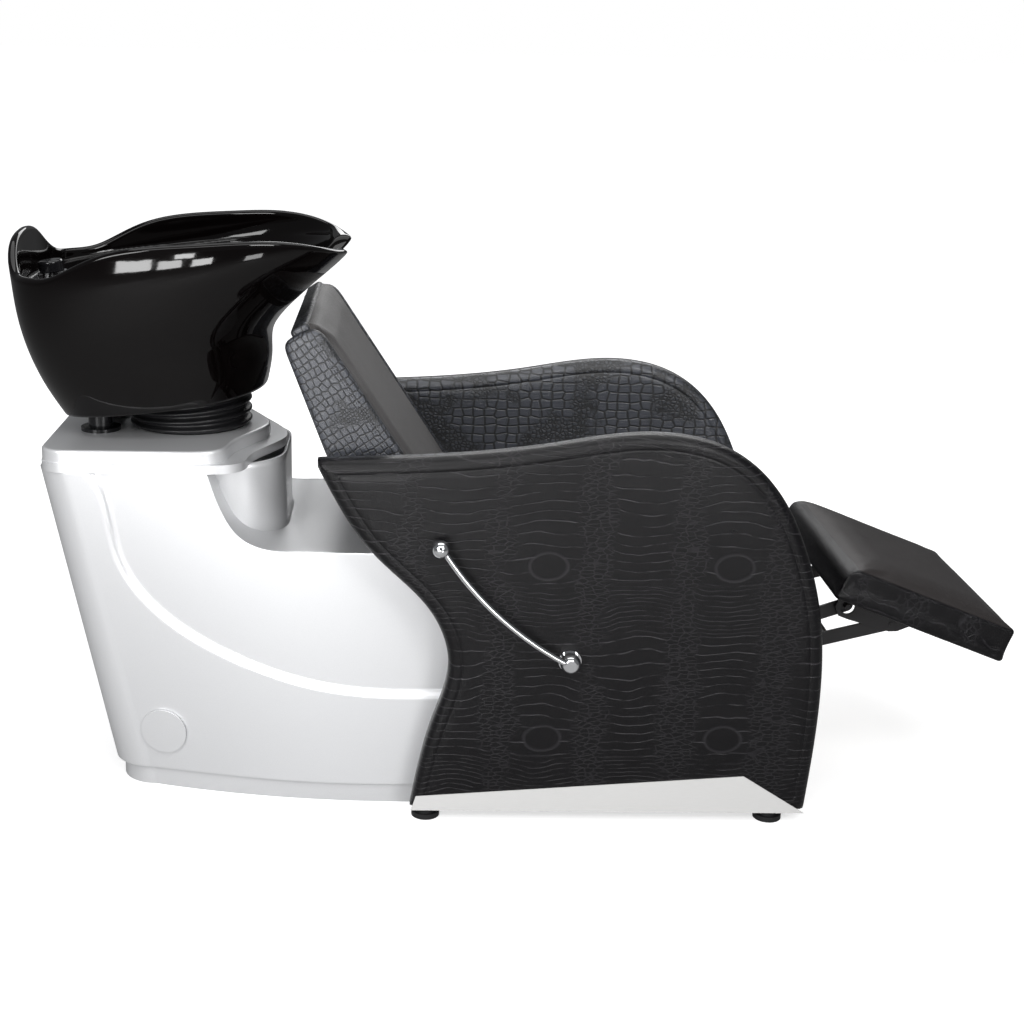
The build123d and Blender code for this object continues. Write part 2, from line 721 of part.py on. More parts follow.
LOWER_ELBOW = polar(LOWER_PIVOT, LINK, -LOWER_DOWN)
LOWER_END = polar(LOWER_ELBOW, LINK, LOWER_UP)
UPPER_ELBOW = polar(UPPER_PIVOT, UPPER_LINK, -UPPER_DOWN)
UPPER_END = polar(UPPER_ELBOW, UPPER_LINK, UPPER_UP)
LAYER = LINK_T + 1.0     # step between neighbouring flat bars along Y
MECH_Y = LINK_Y + 3 * LAYER  # inner face of the fixed mechanism plates


def mechanism_plates():
    """Two fixed plates bolted to the seat frame's rails, carrying both upper pivots."""
    outline = make_face(Polyline(
        (270, 350), (440, 350), (440, 325), (365, 262), (300, 262), (270, 290), close=True,
    ))
    plate = slab(outline, MECH_Y, MECH_Y + LINK_T)
    plate -= rod_y(*LOWER_PIVOT, PIN_R, 100, 250)
    plate -= rod_y(*UPPER_PIVOT, PIN_R, 100, 250)
    rail_face = POST_Y - 12 - GAP
    flange = block((270, 420), (MECH_Y, rail_face), (350, 355))
    tab = block((270, 420), (rail_face - 5, rail_face), (350, 372))
    return both_sides(plate + flange + tab)


def pivot_pins():
    """Fixed pins at the rear pivots of the lower and upper links."""
    pins = Part()
    for x, z in (LOWER_PIVOT, UPPER_PIVOT):
        pins += rod_y(x, z, PIN_R, LINK_Y - 3, MECH_Y + LINK_T + 3)
    return both_sides(pins)


def lower_rear_links():
    """Pair of lower rear links with the torque tube, its drive lug and the lug's pin."""
    y = LINK_Y + 2 * LAYER
    pair = both_sides(link_bar(LOWER_PIVOT, LOWER_ELBOW, y))
    tube_at = polar(LOWER_PIVOT, 46, -LOWER_DOWN)
    pair += rod_y(*tube_at, 9, -y, y)
    lug_end = polar(LOWER_PIVOT, CRANK, CRANK_ANGLE)
    lug = link_bar(lug_end, tube_at, LUG_Y, drilled=(False, False))
    return pair + lug + rod_y(*lug_end, PIN_R, ROD_Y - 2, LUG_Y + LINK_T + 2)


def lower_front_links():
    """Pair of lower front links, joined by a cross tube near the elbows."""
    y = LINK_Y + LAYER
    pair = both_sides(link_bar(LOWER_ELBOW, LOWER_END, y))
    tube_at = polar(LOWER_ELBOW, 60, LOWER_UP)
    return pair + rod_y(*tube_at, 8, -y, y)


def upper_rear_links():
    return both_sides(link_bar(UPPER_PIVOT, UPPER_ELBOW, LINK_Y + LAYER))


def upper_front_links():
    return both_sides(link_bar(UPPER_ELBOW, UPPER_END, LINK_Y))


def elbow_pins(elbow, y0, y1):
    pin = rod_y(*elbow, PIN_R, y0, y1) + rod_y(*elbow, PIN_R + 3, y1, y1 + 2)
    return both_sides(pin)


# ---- footrest -----------------------------------------------------------------------------
def rest_plane():
    """X runs down the footrest from its rear end, Z points out of its top."""
    drop = radians(REST_DROP)
    along = (cos(drop), 0, -sin(drop))
    out = (sin(drop), 0, cos(drop))
    return Plane(origin=(REST_END[0], 0, REST_END[1]), x_dir=along, z_dir=out)


def on_rest(shape):
    return rest_plane().location * shape


def footrest_board():
    return on_rest(block((16, REST_LENGTH - 16), (-REST_HALF + 14, REST_HALF - 14), (0, 15)))


def footrest_cushion():
    """Upholstered pad, open underneath around its board."""
    pad = block((0, REST_LENGTH), (-REST_HALF, REST_HALF), (0, REST_T))
    pad = fillet(pad.edges().filter_by(Axis.Y).group_by(Axis.Z)[-1], 14)
    pad -= block((16 - GAP, REST_LENGTH - 16 + GAP),
                 (-REST_HALF + 14 - GAP, REST_HALF - 14 + GAP), (-5, 15 + GAP))
    return on_rest(pad)


def footrest_brackets():
    """Two angle brackets under the footrest with the pivots of the front links."""
    y = LINK_Y + 2 * LAYER
    u_low, u_up, drop = 136.3, 50.0, 17.3
    outline = make_face(Polyline(
        (u_up - 22, 0), (u_low + 40, 0), (u_low + 14, -drop - 8), (u_low, -drop - 14),
        (u_up + 10, -drop - 20), (u_up - 8, -drop - 20), (u_up - 20, -drop - 8), close=True,
    ))
    plane = rest_plane()
    web_plane = Plane(origin=plane.origin + Vector(0, y + LINK_T, 0), x_dir=plane.x_dir,
                      z_dir=(0, -1, 0))
    web = extrude(web_plane * outline, LINK_T)
    web -= rod_y(*LOWER_END, PIN_R, 100, 250)
    web -= rod_y(*UPPER_END, PIN_R + 8, 100, 250)
    flange = on_rest(block((u_up - 18, u_low + 90), (y, y + 30), (-4, -GAP)))
    pin = rod_y(*LOWER_END, PIN_R, LINK_Y + LAYER - 3, y + LINK_T + 2)
    return both_sides(web + flange + pin)


def upper_end_pins():
    """Pins fixed in the upper front links, running in oversize holes in the footrest brackets."""
    return both_sides(rod_y(*UPPER_END, PIN_R, LINK_Y - 2, LINK_Y + 2 * LAYER + LINK_T + 2))


# ---- lever --------------------------------------------------------------------------------
LEVER_Y = -(ARM_Y + ARM_T / 2) - 26.0   # centre plane of the lever rod
BUSH_R = SHAFT_R + 5.0


def lever_shaft():
    """Cross shaft from the lever's hub through the side panel to the crank."""
    pin_at = polar(LEVER_HUB, CRANK, CRANK_ANGLE)
    outer = -(ARM_Y + ARM_T / 2) - 4.3
    shaft = rod_y(*LEVER_HUB, SHAFT_R, outer - 19.5, CRANK_Y + LINK_T)
    crank = link_bar(LEVER_HUB, pin_at, CRANK_Y, drilled=(False, False))
    return shaft + crank + rod_y(*pin_at, PIN_R, CRANK_Y, ROD_Y + LINK_T + 2)


def lever_bush():
    """Flanged bush in the side panel."""
    outer = -(ARM_Y + ARM_T / 2)
    bush = rod_y(*LEVER_HUB, BUSH_R - GAP, outer - 1, -ARM_Y + ARM_T / 2)
    bush += rod_y(*LEVER_HUB, BUSH_FLANGE_R, outer - 4, outer - GAP)
    return bush - rod_y(*LEVER_HUB, SHAFT_R + PIN_FIT, -450, -200)


def lever_hub():
    """Domed chrome boss that clamps the rod to the shaft."""
    outer = -(ARM_Y + ARM_T / 2) - 4.3
    boss = rod_y(*LEVER_HUB, HUB_R, outer - 10, outer)
    dome = Pos(LEVER_HUB[0], outer - 10, LEVER_HUB[1]) * Sphere(HUB_R)
    dome &= rod_y(*LEVER_HUB, HUB_R, outer - 24, outer - 10)
    hub = boss + dome
    return hub - rod_y(*LEVER_HUB, SHAFT_R, outer - 19.8, outer + 5)


def lever_path():
    start = polar(LEVER_HUB, HUB_R - 4, LEVER_ANGLE + 14)
    end = polar(LEVER_HUB, LEVER_REACH - 10, LEVER_ANGLE)
    sag = polar(LEVER_HUB, LEVER_REACH * 0.48, LEVER_ANGLE + 7.5)
    points = [(p[0], LEVER_Y, p[1]) for p in (start, sag, end)]
    return ThreePointArc(*points)


def lever_rod():
    """Curved round bar from the boss to the ball."""
    path = lever_path()
    bar = sweep(Plane(origin=path @ 0, z_dir=path % 0) * Circle(5), path=path)
    return bar - lever_hub()


def lever_ball():
    ball_at = polar(LEVER_HUB, LEVER_REACH, LEVER_ANGLE)
    ball = Pos(ball_at[0], LEVER_Y, ball_at[1]) * Sphere(LEVER_BALL_R)
    return ball - lever_rod()


def drive_rod():
    """Bar from the lever's crank to the torque tube's lug, parallel to the line of the axles."""
    a = polar(LEVER_HUB, CRANK, CRANK_ANGLE)
    b = polar(LOWER_PIVOT, CRANK, CRANK_ANGLE)
    bar = link_bar(a, b, ROD_Y, LINK_W, (True, False))
    return bar - rod_y(*b, PIN_R + 3, -200, 0)


# ---- fasteners ----------------------------------------------------------------------------
def panel_bolts():
    """Hex bolts from the cross tubes into the side boards."""
    bolts = Part()
    for x in CROSS_X[2:]:
        z = (FRAME_Z[0] + FRAME_Z[1]) / 2
        inner = ARM_Y - BOARD_T / 2
        bolts += rod_y(x, z, BOLT_R, inner - 50, inner + BOARD_T / 2)
    return both_sides(bolts)


def access_screws():
    screws = Part()
    for y in (-106, 106):
        for z in (144, 416):
            x = -694 - (z - PLINTH_H) * (796 - 694) / (PED_TOP - PLINTH_H)
            screws += Pos(x - 1.5, y, z) * Rot(0, 90, 0) * Cylinder(4.5, 4)
    return screws - rear_access_panel()


# ---- write the parts ----------------------------------------------------------------------
save(base_frame(), "base_frame")
save(seat_frame(), "seat_frame")
save(levelling_feet(), "levelling_feet")
for name, side in (("left", -1), ("right", 1)):
    save(side_board(side * ARM_Y), f"side_board_{name}")
    save(arm_pad(side * ARM_Y), f"arm_pad_{name}")
    save(kick_plate(side), f"kick_plate_{name}")
    save(back_wing(side), f"back_wing_{name}")
    save(side_cap(side), f"side_cap_{name}")
save(seat_board(), "seat_board")
save(seat_cushion(), "seat_cushion")
save(front_apron(), "front_apron")
save(backrest_board(), "backrest_board")
save(backrest_cushion(), "backrest_cushion")
save(back_brackets(), "back_brackets")
save(pedestal_shell(), "pedestal_shell")
save(pedestal_plinth(), "pedestal_plinth")
save(rear_access_panel(), "rear_access_panel")
save(access_screws(), "access_screws")
save(deck_collar(), "deck_collar")
save(deck_plate(), "deck_plate")
save(hinge_bracket(), "hinge_bracket")
save(tilt_pin(), "tilt_pin")
save(tilt_stops(), "tilt_stops")
save(bellows(), "bellows")
save(trap(), "trap")
save(stop_valves(), "stop_valves")
save(supply_hose(-VALVE_Y), "supply_hose_hot")
save(supply_hose(VALVE_Y), "supply_hose_cold")
save(mechanism_plates(), "mechanism_plates")
save(pivot_pins(), "pivot_pins")
save(lever_bush(), "lever_bush")
save(panel_bolts(), "panel_bolts")
save(basin(), "basin")
save(basin_mount_plate(), "basin_mount_plate")
save(waste_flange(), "waste_flange")
save(strainer(), "strainer")
save(tailpiece(), "tailpiece")
save(drain_hose(), "drain_hose")
save(tap_body(), "tap_body")
save(tap_knob(), "tap_knob")
save(lever_shaft(), "lever_shaft")
save(lever_hub(), "lever_hub")
save(lever_rod(), "lever_rod")
save(lever_ball(), "lever_ball")
save(drive_rod(), "drive_rod")
save(lower_rear_links(), "lower_rear_links")
save(lower_front_links(), "lower_front_links")
save(elbow_pins(LOWER_ELBOW, LINK_Y + LAYER - 2, LINK_Y + 2 * LAYER + LINK_T), "lower_elbow_pins")
save(upper_rear_links(), "upper_rear_links")
save(upper_front_links(), "upper_front_links")
save(elbow_pins(UPPER_ELBOW, LINK_Y - 2, LINK_Y + LAYER + LINK_T), "upper_elbow_pins")
save(upper_end_pins(), "upper_end_pins")
save(footrest_board(), "footrest_board")
save(footrest_cushion(), "footrest_cushion")
save(footrest_brackets(), "footrest_brackets")
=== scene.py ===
import math

import bmesh
import bpy
import numpy as np
from mathutils import Matrix, Vector
from mathutils.geometry import delaunay_2d_cdt


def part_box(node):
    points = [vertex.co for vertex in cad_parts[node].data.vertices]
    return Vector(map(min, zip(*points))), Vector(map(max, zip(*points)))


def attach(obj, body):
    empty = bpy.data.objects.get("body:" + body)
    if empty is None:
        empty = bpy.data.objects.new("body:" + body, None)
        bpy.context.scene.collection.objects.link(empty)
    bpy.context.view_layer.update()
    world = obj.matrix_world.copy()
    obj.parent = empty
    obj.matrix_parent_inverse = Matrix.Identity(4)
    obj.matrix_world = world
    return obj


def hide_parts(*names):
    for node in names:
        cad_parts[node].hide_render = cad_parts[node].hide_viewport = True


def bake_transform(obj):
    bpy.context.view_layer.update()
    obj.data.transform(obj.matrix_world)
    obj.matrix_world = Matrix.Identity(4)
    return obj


# Shampoo backwash unit. Shapes are worked out in millimetres and written in metres.
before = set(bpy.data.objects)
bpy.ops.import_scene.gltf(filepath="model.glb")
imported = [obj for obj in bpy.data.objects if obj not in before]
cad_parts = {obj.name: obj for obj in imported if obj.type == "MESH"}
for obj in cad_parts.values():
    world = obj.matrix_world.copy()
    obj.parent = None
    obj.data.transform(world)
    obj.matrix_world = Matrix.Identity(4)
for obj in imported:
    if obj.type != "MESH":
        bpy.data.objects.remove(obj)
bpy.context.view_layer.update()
scene = bpy.context.scene
MM = 0.001
SHELL_WALL = 0.005


# ---- curves and meshes ----
def cubic(xs, ys):
    """Natural cubic through the points; returns a function of x."""
    xs, ys = np.asarray(xs, float), np.asarray(ys, float)
    n = len(xs)
    h = np.diff(xs)
    a, b = np.zeros((n, n)), np.zeros((n,) + ys.shape[1:])
    a[0, 0] = a[-1, -1] = 1
    for i in range(1, n - 1):
        a[i, i - 1], a[i, i], a[i, i + 1] = h[i - 1], 2 * (h[i - 1] + h[i]), h[i]
        b[i] = 6 * ((ys[i + 1] - ys[i]) / h[i] - (ys[i] - ys[i - 1]) / h[i - 1])
    m = np.linalg.solve(a, b)

    def at(x):
        x = np.asarray(x, float)
        i = np.clip(np.searchsorted(xs, x) - 1, 0, n - 2)
        t = x - xs[i]
        hi = h[i]
        if ys.ndim > 1:
            t, hi = t[..., None], hi[..., None]
        slope = (ys[i + 1] - ys[i]) / hi - hi * (2 * m[i] + m[i + 1]) / 6
        return ys[i] + slope * t + m[i] * t**2 / 2 + (m[i + 1] - m[i]) * t**3 / (6 * hi)

    return at


def lengths(p):
    """Distance along a polyline at each of its points."""
    return np.concatenate([[0], np.cumsum(np.linalg.norm(np.diff(p, axis=0), axis=1))])


def curve(points, step):
    """Points along a smooth curve through the given ones, about step apart."""
    p = np.asarray(points, float)
    s = lengths(p)
    return cubic(s, p)(np.linspace(0, s[-1], max(3, int(s[-1] / step) + 1)))


def straight(a, b, step):
    a, b = np.asarray(a, float), np.asarray(b, float)
    n = max(2, int(np.linalg.norm(b - a) / step) + 1)
    return a + (b - a) * np.linspace(0, 1, n)[:, None]


def closed(corners, step):
    """Points along the closed polygon through the corners, about step apart."""
    ends = corners[1:] + corners[:1]
    return np.concatenate([straight(a, b, step)[:-1] for a, b in zip(corners, ends)])


def resample(p, n):
    """The polyline p, cut into n points evenly along its length."""
    s = lengths(p)
    t = np.linspace(0, s[-1], n)
    return np.stack([np.interp(t, s, p[:, k]) for k in range(p.shape[1])], 1)


def unit(v):
    """The vectors along the last axis, each made one long."""
    return v / np.linalg.norm(v, axis=-1, keepdims=True)


def smoothstep(t):
    t = np.clip(t, 0, 1)
    return t * t * (3 - 2 * t)


def build(name, verts, faces, matrix=None):
    """A smooth-shaded mesh object from millimetre points, with doubled points merged."""
    me = bpy.data.meshes.new(name)
    me.from_pydata((np.asarray(verts, float) * MM).tolist(), [], [list(map(int, f)) for f in faces])
    bm = bmesh.new()
    bm.from_mesh(me)
    bmesh.ops.remove_doubles(bm, verts=bm.verts, dist=2e-5)
    bmesh.ops.recalc_face_normals(bm, faces=bm.faces)
    bm.to_mesh(me)
    bm.free()
    me.polygons.foreach_set("use_smooth", [True] * len(me.polygons))
    ob = bpy.data.objects.new(name, me)
    scene.collection.objects.link(ob)
    if matrix is not None:
        ob.matrix_world = matrix
    return ob


def skin(rows, loop_rows=False, loop_points=True, first=0):
    """Quads between neighbouring rows of points."""
    count, n = rows.shape[0], rows.shape[1]
    faces = []
    for i in range(count if loop_rows else count - 1):
        for j in range(n if loop_points else n - 1):
            k, l = (i + 1) % count, (j + 1) % n
            faces.append((first + i * n + j, first + i * n + l, first + k * n + l, first + k * n + j))
    return faces


def tube(path, radius, sides=12, caps=True):
    """Verts and faces of a tube along a path; radius is one number or one per point."""
    p = np.asarray(path, float)
    radius = np.broadcast_to(np.asarray(radius, float), (len(p),))
    tangent = unit(np.gradient(p, axis=0))
    side = np.cross(tangent[0], [0.31, 0.87, 0.38])
    rows = []
    for point, t, r in zip(p, tangent, radius):
        side = side - t * (side @ t)
        side /= np.linalg.norm(side)
        up = np.cross(t, side)
        a = np.linspace(0, 2 * math.pi, sides, endpoint=False)[:, None]
        rows.append(point + r * (np.cos(a) * side + np.sin(a) * up))
    rows = np.array(rows)
    faces = skin(rows)
    if caps:
        faces += [tuple(range(sides))[::-1], tuple(len(p) * sides - sides + i for i in range(sides))]
    return rows.reshape(-1, 3), faces


def tubes(name, paths, radius, matrix=None, sides=8):
    """One object of several separate tubes."""
    verts, faces = [], []
    for path in paths:
        v, f = tube(path, radius, sides)
        faces += [tuple(k + len(verts) for k in face) for face in f]
        verts += v.tolist()
    return build(name, verts, faces, matrix)


def frame_of(x_dir, z_dir, origin):
    """Matrix whose local X and Z point the given ways, from an origin in millimetres."""
    x, z = Vector(x_dir).normalized(), Vector(z_dir).normalized()
    y = z.cross(x)
    m = Matrix((x, y, z)).transposed().to_4x4()
    m.translation = Vector(origin) * MM
    return m


def tilted(angle, origin):
    """Matrix whose local X points along the world's X, raised by an angle."""
    c, s = math.cos(angle), math.sin(angle)
    return frame_of((c, 0, s), (-s, 0, c), origin)


def finish_piece(ob, material, body="base", nodes=()):
    """Material, body and CAD nodes of one visual piece."""
    ob.data.materials.clear()
    ob.data.materials.append(material)
    if body:
        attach(ob, body)
    if nodes:
        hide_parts(*nodes)


def thicken(ob):
    """Gives a moulded skin its wall, on the inner side."""
    wall = ob.modifiers.new("Wall", "SOLIDIFY")
    wall.thickness = SHELL_WALL
    wall.offset = -1


def bevel(ob, width, angle):
    """Rounds the edges sharper than an angle in degrees, by a width in metres."""
    edges = ob.modifiers.new("Edges", "BEVEL")
    edges.width = width
    edges.segments = 3
    edges.limit_method = "ANGLE"
    edges.angle_limit = math.radians(angle)


# ---- shaders ----
class Shader:
    """A Principled material with short calls for its nodes."""

    def __init__(self, name, **settings):
        self.material = bpy.data.materials.new(name)
        self.material.use_nodes = True
        self.tree = self.material.node_tree
        self.bsdf = self.tree.nodes["Principled BSDF"]
        self.place = self.node("ShaderNodeTexCoord").outputs["Object"]
        for key, value in settings.items():
            self.bsdf.inputs[key.replace("_", " ")].default_value = value

    def node(self, kind, inputs=None, **props):
        n = self.tree.nodes.new(kind)
        for key, value in props.items():
            setattr(n, key, value)
        for key, value in (inputs or {}).items():
            self.feed(n.inputs[key], value)
        return n

    def feed(self, socket, value):
        """Gives the socket a plain value, or links another node's output to it."""
        if isinstance(value, bpy.types.NodeSocket):
            self.tree.links.new(value, socket)
        else:
            socket.default_value = value

    def math(self, operation, a, b=0.0, c=0.0):
        return self.node("ShaderNodeMath", {0: a, 1: b, 2: c}, operation=operation).outputs[0]

    def add(self, a, b):
        return self.math("ADD", a, b)

    def mul(self, a, b):
        return self.math("MULTIPLY", a, b)

    def step(self, value, low, high):
        """0 below low, 1 above high, smooth between."""
        return self.node("ShaderNodeMapRange", {"Value": value, "From Min": low, "From Max": high},
                         interpolation_type="SMOOTHSTEP").outputs[0]

    def mix(self, factor, a, b):
        """Blend of two numbers."""
        return self.node("ShaderNodeMix", {0: factor, 2: a, 3: b}).outputs[0]

    def colour(self, factor, a, b):
        """Blend of two colours."""
        n = self.node("ShaderNodeMix", {0: factor}, data_type="RGBA")
        for socket, value in ((n.inputs[6], a), (n.inputs[7], b)):
            self.feed(socket, (*value, 1) if isinstance(value, tuple) else value)
        return n.outputs[2]

    def noise(self, scale, detail=2.0, rough=0.5, at=None):
        n = self.node("ShaderNodeTexNoise", {"Vector": at or self.place, "Scale": scale,
                                             "Detail": detail, "Roughness": rough})
        return n.outputs["Fac"]

    def vector(self, operation, a, b):
        return self.node("ShaderNodeVectorMath", {0: a, 1: b}, operation=operation).outputs[0]

    def stretched(self, x, y, z, at=None):
        """Coordinates multiplied per axis."""
        return self.vector("MULTIPLY", at or self.place, (x, y, z))

    def warped(self, amount, scale):
        """Coordinates pushed about by noise, in metres."""
        n = self.node("ShaderNodeTexNoise", {"Vector": self.place, "Scale": scale, "Detail": 1.0})
        middle = self.vector("SUBTRACT", n.outputs["Color"], (0.5, 0.5, 0.5))
        return self.vector("ADD", self.place, self.vector("MULTIPLY", middle, (amount,) * 3))

    def cells(self, at, randomness=0.5):
        """Distance to the nearest edge of a lattice of cells one unit wide."""
        return self.node("ShaderNodeTexVoronoi", {"Vector": at, "Scale": 1.0,
                                                  "Randomness": randomness},
                         feature="DISTANCE_TO_EDGE").outputs["Distance"]

    def split(self, at=None):
        return self.node("ShaderNodeSeparateXYZ", {0: at or self.place}).outputs

    def set(self, name, value):
        self.feed(self.bsdf.inputs[name], value)

    def bump(self, height, strength, distance):
        n = self.node("ShaderNodeBump", {"Height": height, "Strength": strength,
                                         "Distance": distance})
        self.set("Normal", n.outputs[0])


BELLY = 0.304            # distance between the print's belly columns, metres


def crease(s, value, width):
    """1 on the lines where value is whole, falling to 0 over width."""
    off = s.math("ABSOLUTE", s.add(s.math("FRACT", value), -0.5))
    return s.step(off, 0.5 - width, 0.5)


def belly_print(s, scale, phase):
    """Pale wavy belly rows, arched over each column, with smooth ovals and fans of fine scales."""
    k = 1 / scale
    u, v, _ = s.split(s.warped(0.005 * scale, 16 * k))
    u, v = s.add(u, phase[0]), s.add(v, phase[1])
    column = s.math("COSINE", s.mul(u, 2 * math.pi * k / BELLY))
    fan = s.math("SINE", s.mul(v, 2 * math.pi * k / BELLY))
    arched = s.add(v, s.mul(s.mul(column, fan), -0.013 * scale))
    drift = s.noise(11 * k, 2.0)
    breaks = s.step(s.noise(1.0, 3.0, 0.6, s.stretched(24 * k, 85 * k, 24 * k)), 0.34, 0.58)
    rows = s.mul(crease(s, s.add(s.mul(arched, 56 * k), s.mul(drift, 1.6)), 0.085), breaks)
    tight = crease(s, s.add(s.mul(arched, 118 * k), s.mul(drift, 3.0)), 0.16)
    tight = s.mul(s.mul(tight, breaks), 0.6)
    patch = s.stretched(62 * k, 150 * k, 62 * k, s.warped(0.004 * scale, 60 * k))
    scales = s.step(s.cells(patch, 0.9), 0.14, 0.0)
    where = s.add(s.mul(column, column), s.mul(s.add(drift, -0.5), 1.6))
    lines = s.mix(s.step(s.add(fan, s.mul(drift, 0.9)), 0.95, 1.25), rows, tight)
    lines = s.mix(s.step(where, 0.12, 0.42), s.mul(scales, 0.42), lines)
    across = s.mul(s.add(s.math("FRACT", s.mul(u, k / BELLY)), -0.5), BELLY / 0.031)
    upward = s.mul(s.add(s.math("FRACT", s.mul(v, k / BELLY)), -0.5), BELLY / 0.023)
    oval = s.math("SQRT", s.add(s.mul(across, across), s.mul(upward, upward)))
    ring = s.mul(s.step(s.math("ABSOLUTE", s.add(oval, -1.0)), 0.16, 0.02), 0.45)
    lines = s.mul(lines, s.step(oval, 0.84, 1.04))
    return s.math("MAXIMUM", lines, ring)


def square_print(s, scale):
    """Height of squarish scales in rows, with patches of fine scales."""
    k = 1 / scale
    at = s.warped(0.006 * scale, 12 * k)
    big = s.step(s.cells(s.stretched(46 * k, 58 * k, 46 * k, at), 0.38), 0.01, 0.16)
    lines = s.step(s.cells(s.stretched(46 * k, 174 * k, 46 * k, at), 0.3), 0.0, 0.10)
    fine = s.mul(s.step(s.cells(s.stretched(125 * k, 140 * k, 125 * k, at), 0.85), 0.0, 0.35), 0.7)
    big = s.mul(big, s.mix(0.25, 1.0, lines))
    return s.mix(s.step(s.noise(9 * k, 2.0), 0.42, 0.52), fine, big)


def croc_leather(name, scale=1.0, phase=(0.0, 0.0), squares=0.0, smooth_above=None):
    """Black embossed vinyl. squares is 1 or -1 for the side of local Z with square scales, or 2
    for all. Above smooth_above, a local height in metres, the vinyl is plain."""
    s = Shader(name, IOR=1.5, Coat_Weight=0.06, Coat_Roughness=0.25)
    grain = s.step(s.cells(s.stretched(900, 900, 900), 1.0), 0.0, 0.4)
    wear = s.noise(7, 4.0, 0.6)
    pale = belly_print(s, scale, phase)
    square = square_print(s, scale)
    if abs(squares) == 1.0:
        side = s.step(s.mul(s.split()[2], squares), -0.001, 0.001)
    else:
        side = squares / 2
    dark = s.colour(wear, (0.0020, 0.0018, 0.0024), (0.0038, 0.0034, 0.0042))
    lines = s.colour(s.mul(pale, 0.8), dark, (0.034, 0.032, 0.036))
    # Square scales: the pattern is print, but the light blue-grey on the raised tops is a painted
    # highlight and the near-black in the grooves is painted shade, so the square-scaled face reads
    # lighter
    scales = s.colour(square, (0.0030, 0.0030, 0.0035), (0.052, 0.056, 0.068))
    colour = s.colour(side, lines, scales)
    height = s.mix(side, s.mul(pale, -1.0), square)
    height = s.add(height, s.mul(grain, 0.16))
    rough = s.mix(side, s.mix(wear, 0.25, 0.33), s.mix(square, 0.50, 0.30))
    level = s.mix(side, 0.26, 0.75)
    if smooth_above is not None:
        plain = s.step(s.split()[2], smooth_above - 0.0006, smooth_above + 0.0006)
        leather, leather_rough, leather_height = grain_leather(s)
        colour = s.colour(plain, colour, leather)
        rough = s.mix(plain, rough, leather_rough)
        height = s.mix(plain, height, leather_height)
    s.set("Base Color", colour)
    s.set("Roughness", rough)
    s.set("Specular IOR Level", level)
    s.bump(height, 0.8, 0.0008)
    return s.material


def grain_leather(s):
    """Colour, roughness and height of the plain fine-grained vinyl."""
    pebble = s.step(s.cells(s.stretched(620, 620, 620, s.warped(0.0015, 300)), 0.95), 0.0, 0.45)
    pull = s.noise(5.5, 5.0, 0.62, s.stretched(1.0, 4.5, 1.0))
    blotch = s.noise(11, 4.0, 0.6)
    colour = s.colour(blotch, (0.022, 0.0185, 0.018), (0.038, 0.033, 0.032))
    colour = s.colour(s.mul(s.math("SUBTRACT", 1.0, pebble), 0.5), colour, (0.012, 0.010, 0.010))
    rough = s.mix(blotch, 0.40, 0.52)
    height = s.add(s.mul(pebble, 0.22), s.mul(pull, 0.9))
    return colour, rough, height


def smooth_leather(name):
    s = Shader(name, IOR=1.5, Specular_IOR_Level=0.5, Sheen_Weight=0.12, Sheen_Roughness=0.5)
    colour, rough, height = grain_leather(s)
    s.set("Base Color", colour)
    s.set("Roughness", rough)
    s.bump(height, 0.7, 0.0011)
    return s.material


def silver_paint(name):
    """Pearl silver lacquer over moulded plastic: fine flakes and a clear coat."""
    s = Shader(name, Metallic=0.42, IOR=1.5, Coat_Weight=0.4, Coat_Roughness=0.12)
    flake = s.noise(1500, 2.0, 0.7)
    haze = s.noise(2.2, 3.0)
    colour = s.colour(flake, (0.66, 0.665, 0.68), (0.84, 0.845, 0.855))
    s.set("Base Color", s.colour(s.mul(haze, 0.35), colour, (0.70, 0.705, 0.72)))
    s.set("Roughness", s.mix(flake, 0.30, 0.42))
    s.bump(s.add(s.mul(flake, 0.12), s.noise(28, 2.0)), 0.12, 0.0006)
    return s.material


def ceramic(name):
    """Black vitreous china: mirror gloss with a faint orange peel."""
    s = Shader(name, IOR=1.5, Specular_IOR_Level=0.32)
    peel = s.noise(38, 2.0)
    s.set("Base Color", s.colour(s.noise(5, 2.0), (0.0012, 0.0008, 0.0008), (0.0022, 0.0015, 0.0015)))
    s.set("Roughness", s.mix(s.noise(16, 3.0), 0.035, 0.075))
    s.bump(peel, 0.10, 0.0010)
    return s.material


def metal(name, colour, low, high, brush=None, strength=0.06, metallic=1.0):
    """Metal with roughness patches, and brushing along an axis if asked for."""
    s = Shader(name, Metallic=metallic)
    patches = s.noise(24, 4.0, 0.6)
    scratch = s.noise(220, 3.0, 0.7, s.stretched(*brush)) if brush else s.noise(420, 3.0, 0.7)
    dull = tuple(0.82 * c for c in colour)
    s.set("Base Color", s.colour(scratch, dull, colour))
    s.set("Roughness", s.mix(patches, low, high))
    s.bump(s.add(scratch, s.mul(patches, 0.3)), strength, 0.0004)
    return s.material


def plastic(name, colour, low=0.3, high=0.45, grain=900, strength=0.12):
    """Moulded plastic, rubber or paint with fine grain and slight colour drift."""
    s = Shader(name, IOR=1.47)
    drift = s.noise(18, 4.0, 0.6)
    fine = s.noise(grain, 2.0, 0.6)
    dark, light = (tuple(k * c for c in colour) for k in (0.75, 1.15))
    s.set("Base Color", s.colour(drift, dark, light))
    s.set("Roughness", s.mix(drift, low, high))
    s.bump(s.add(fine, s.mul(drift, 0.5)), strength, 0.0005)
    return s.material


def plywood(name):
    s = Shader(name, IOR=1.4)
    grain = s.noise(16, 5.0, 0.65, s.stretched(1.0, 9.0, 14.0))
    s.set("Base Color", s.colour(grain, (0.30, 0.19, 0.10), (0.55, 0.39, 0.24)))
    s.set("Roughness", s.mix(grain, 0.62, 0.78))
    s.bump(grain, 0.2, 0.0006)
    return s.material


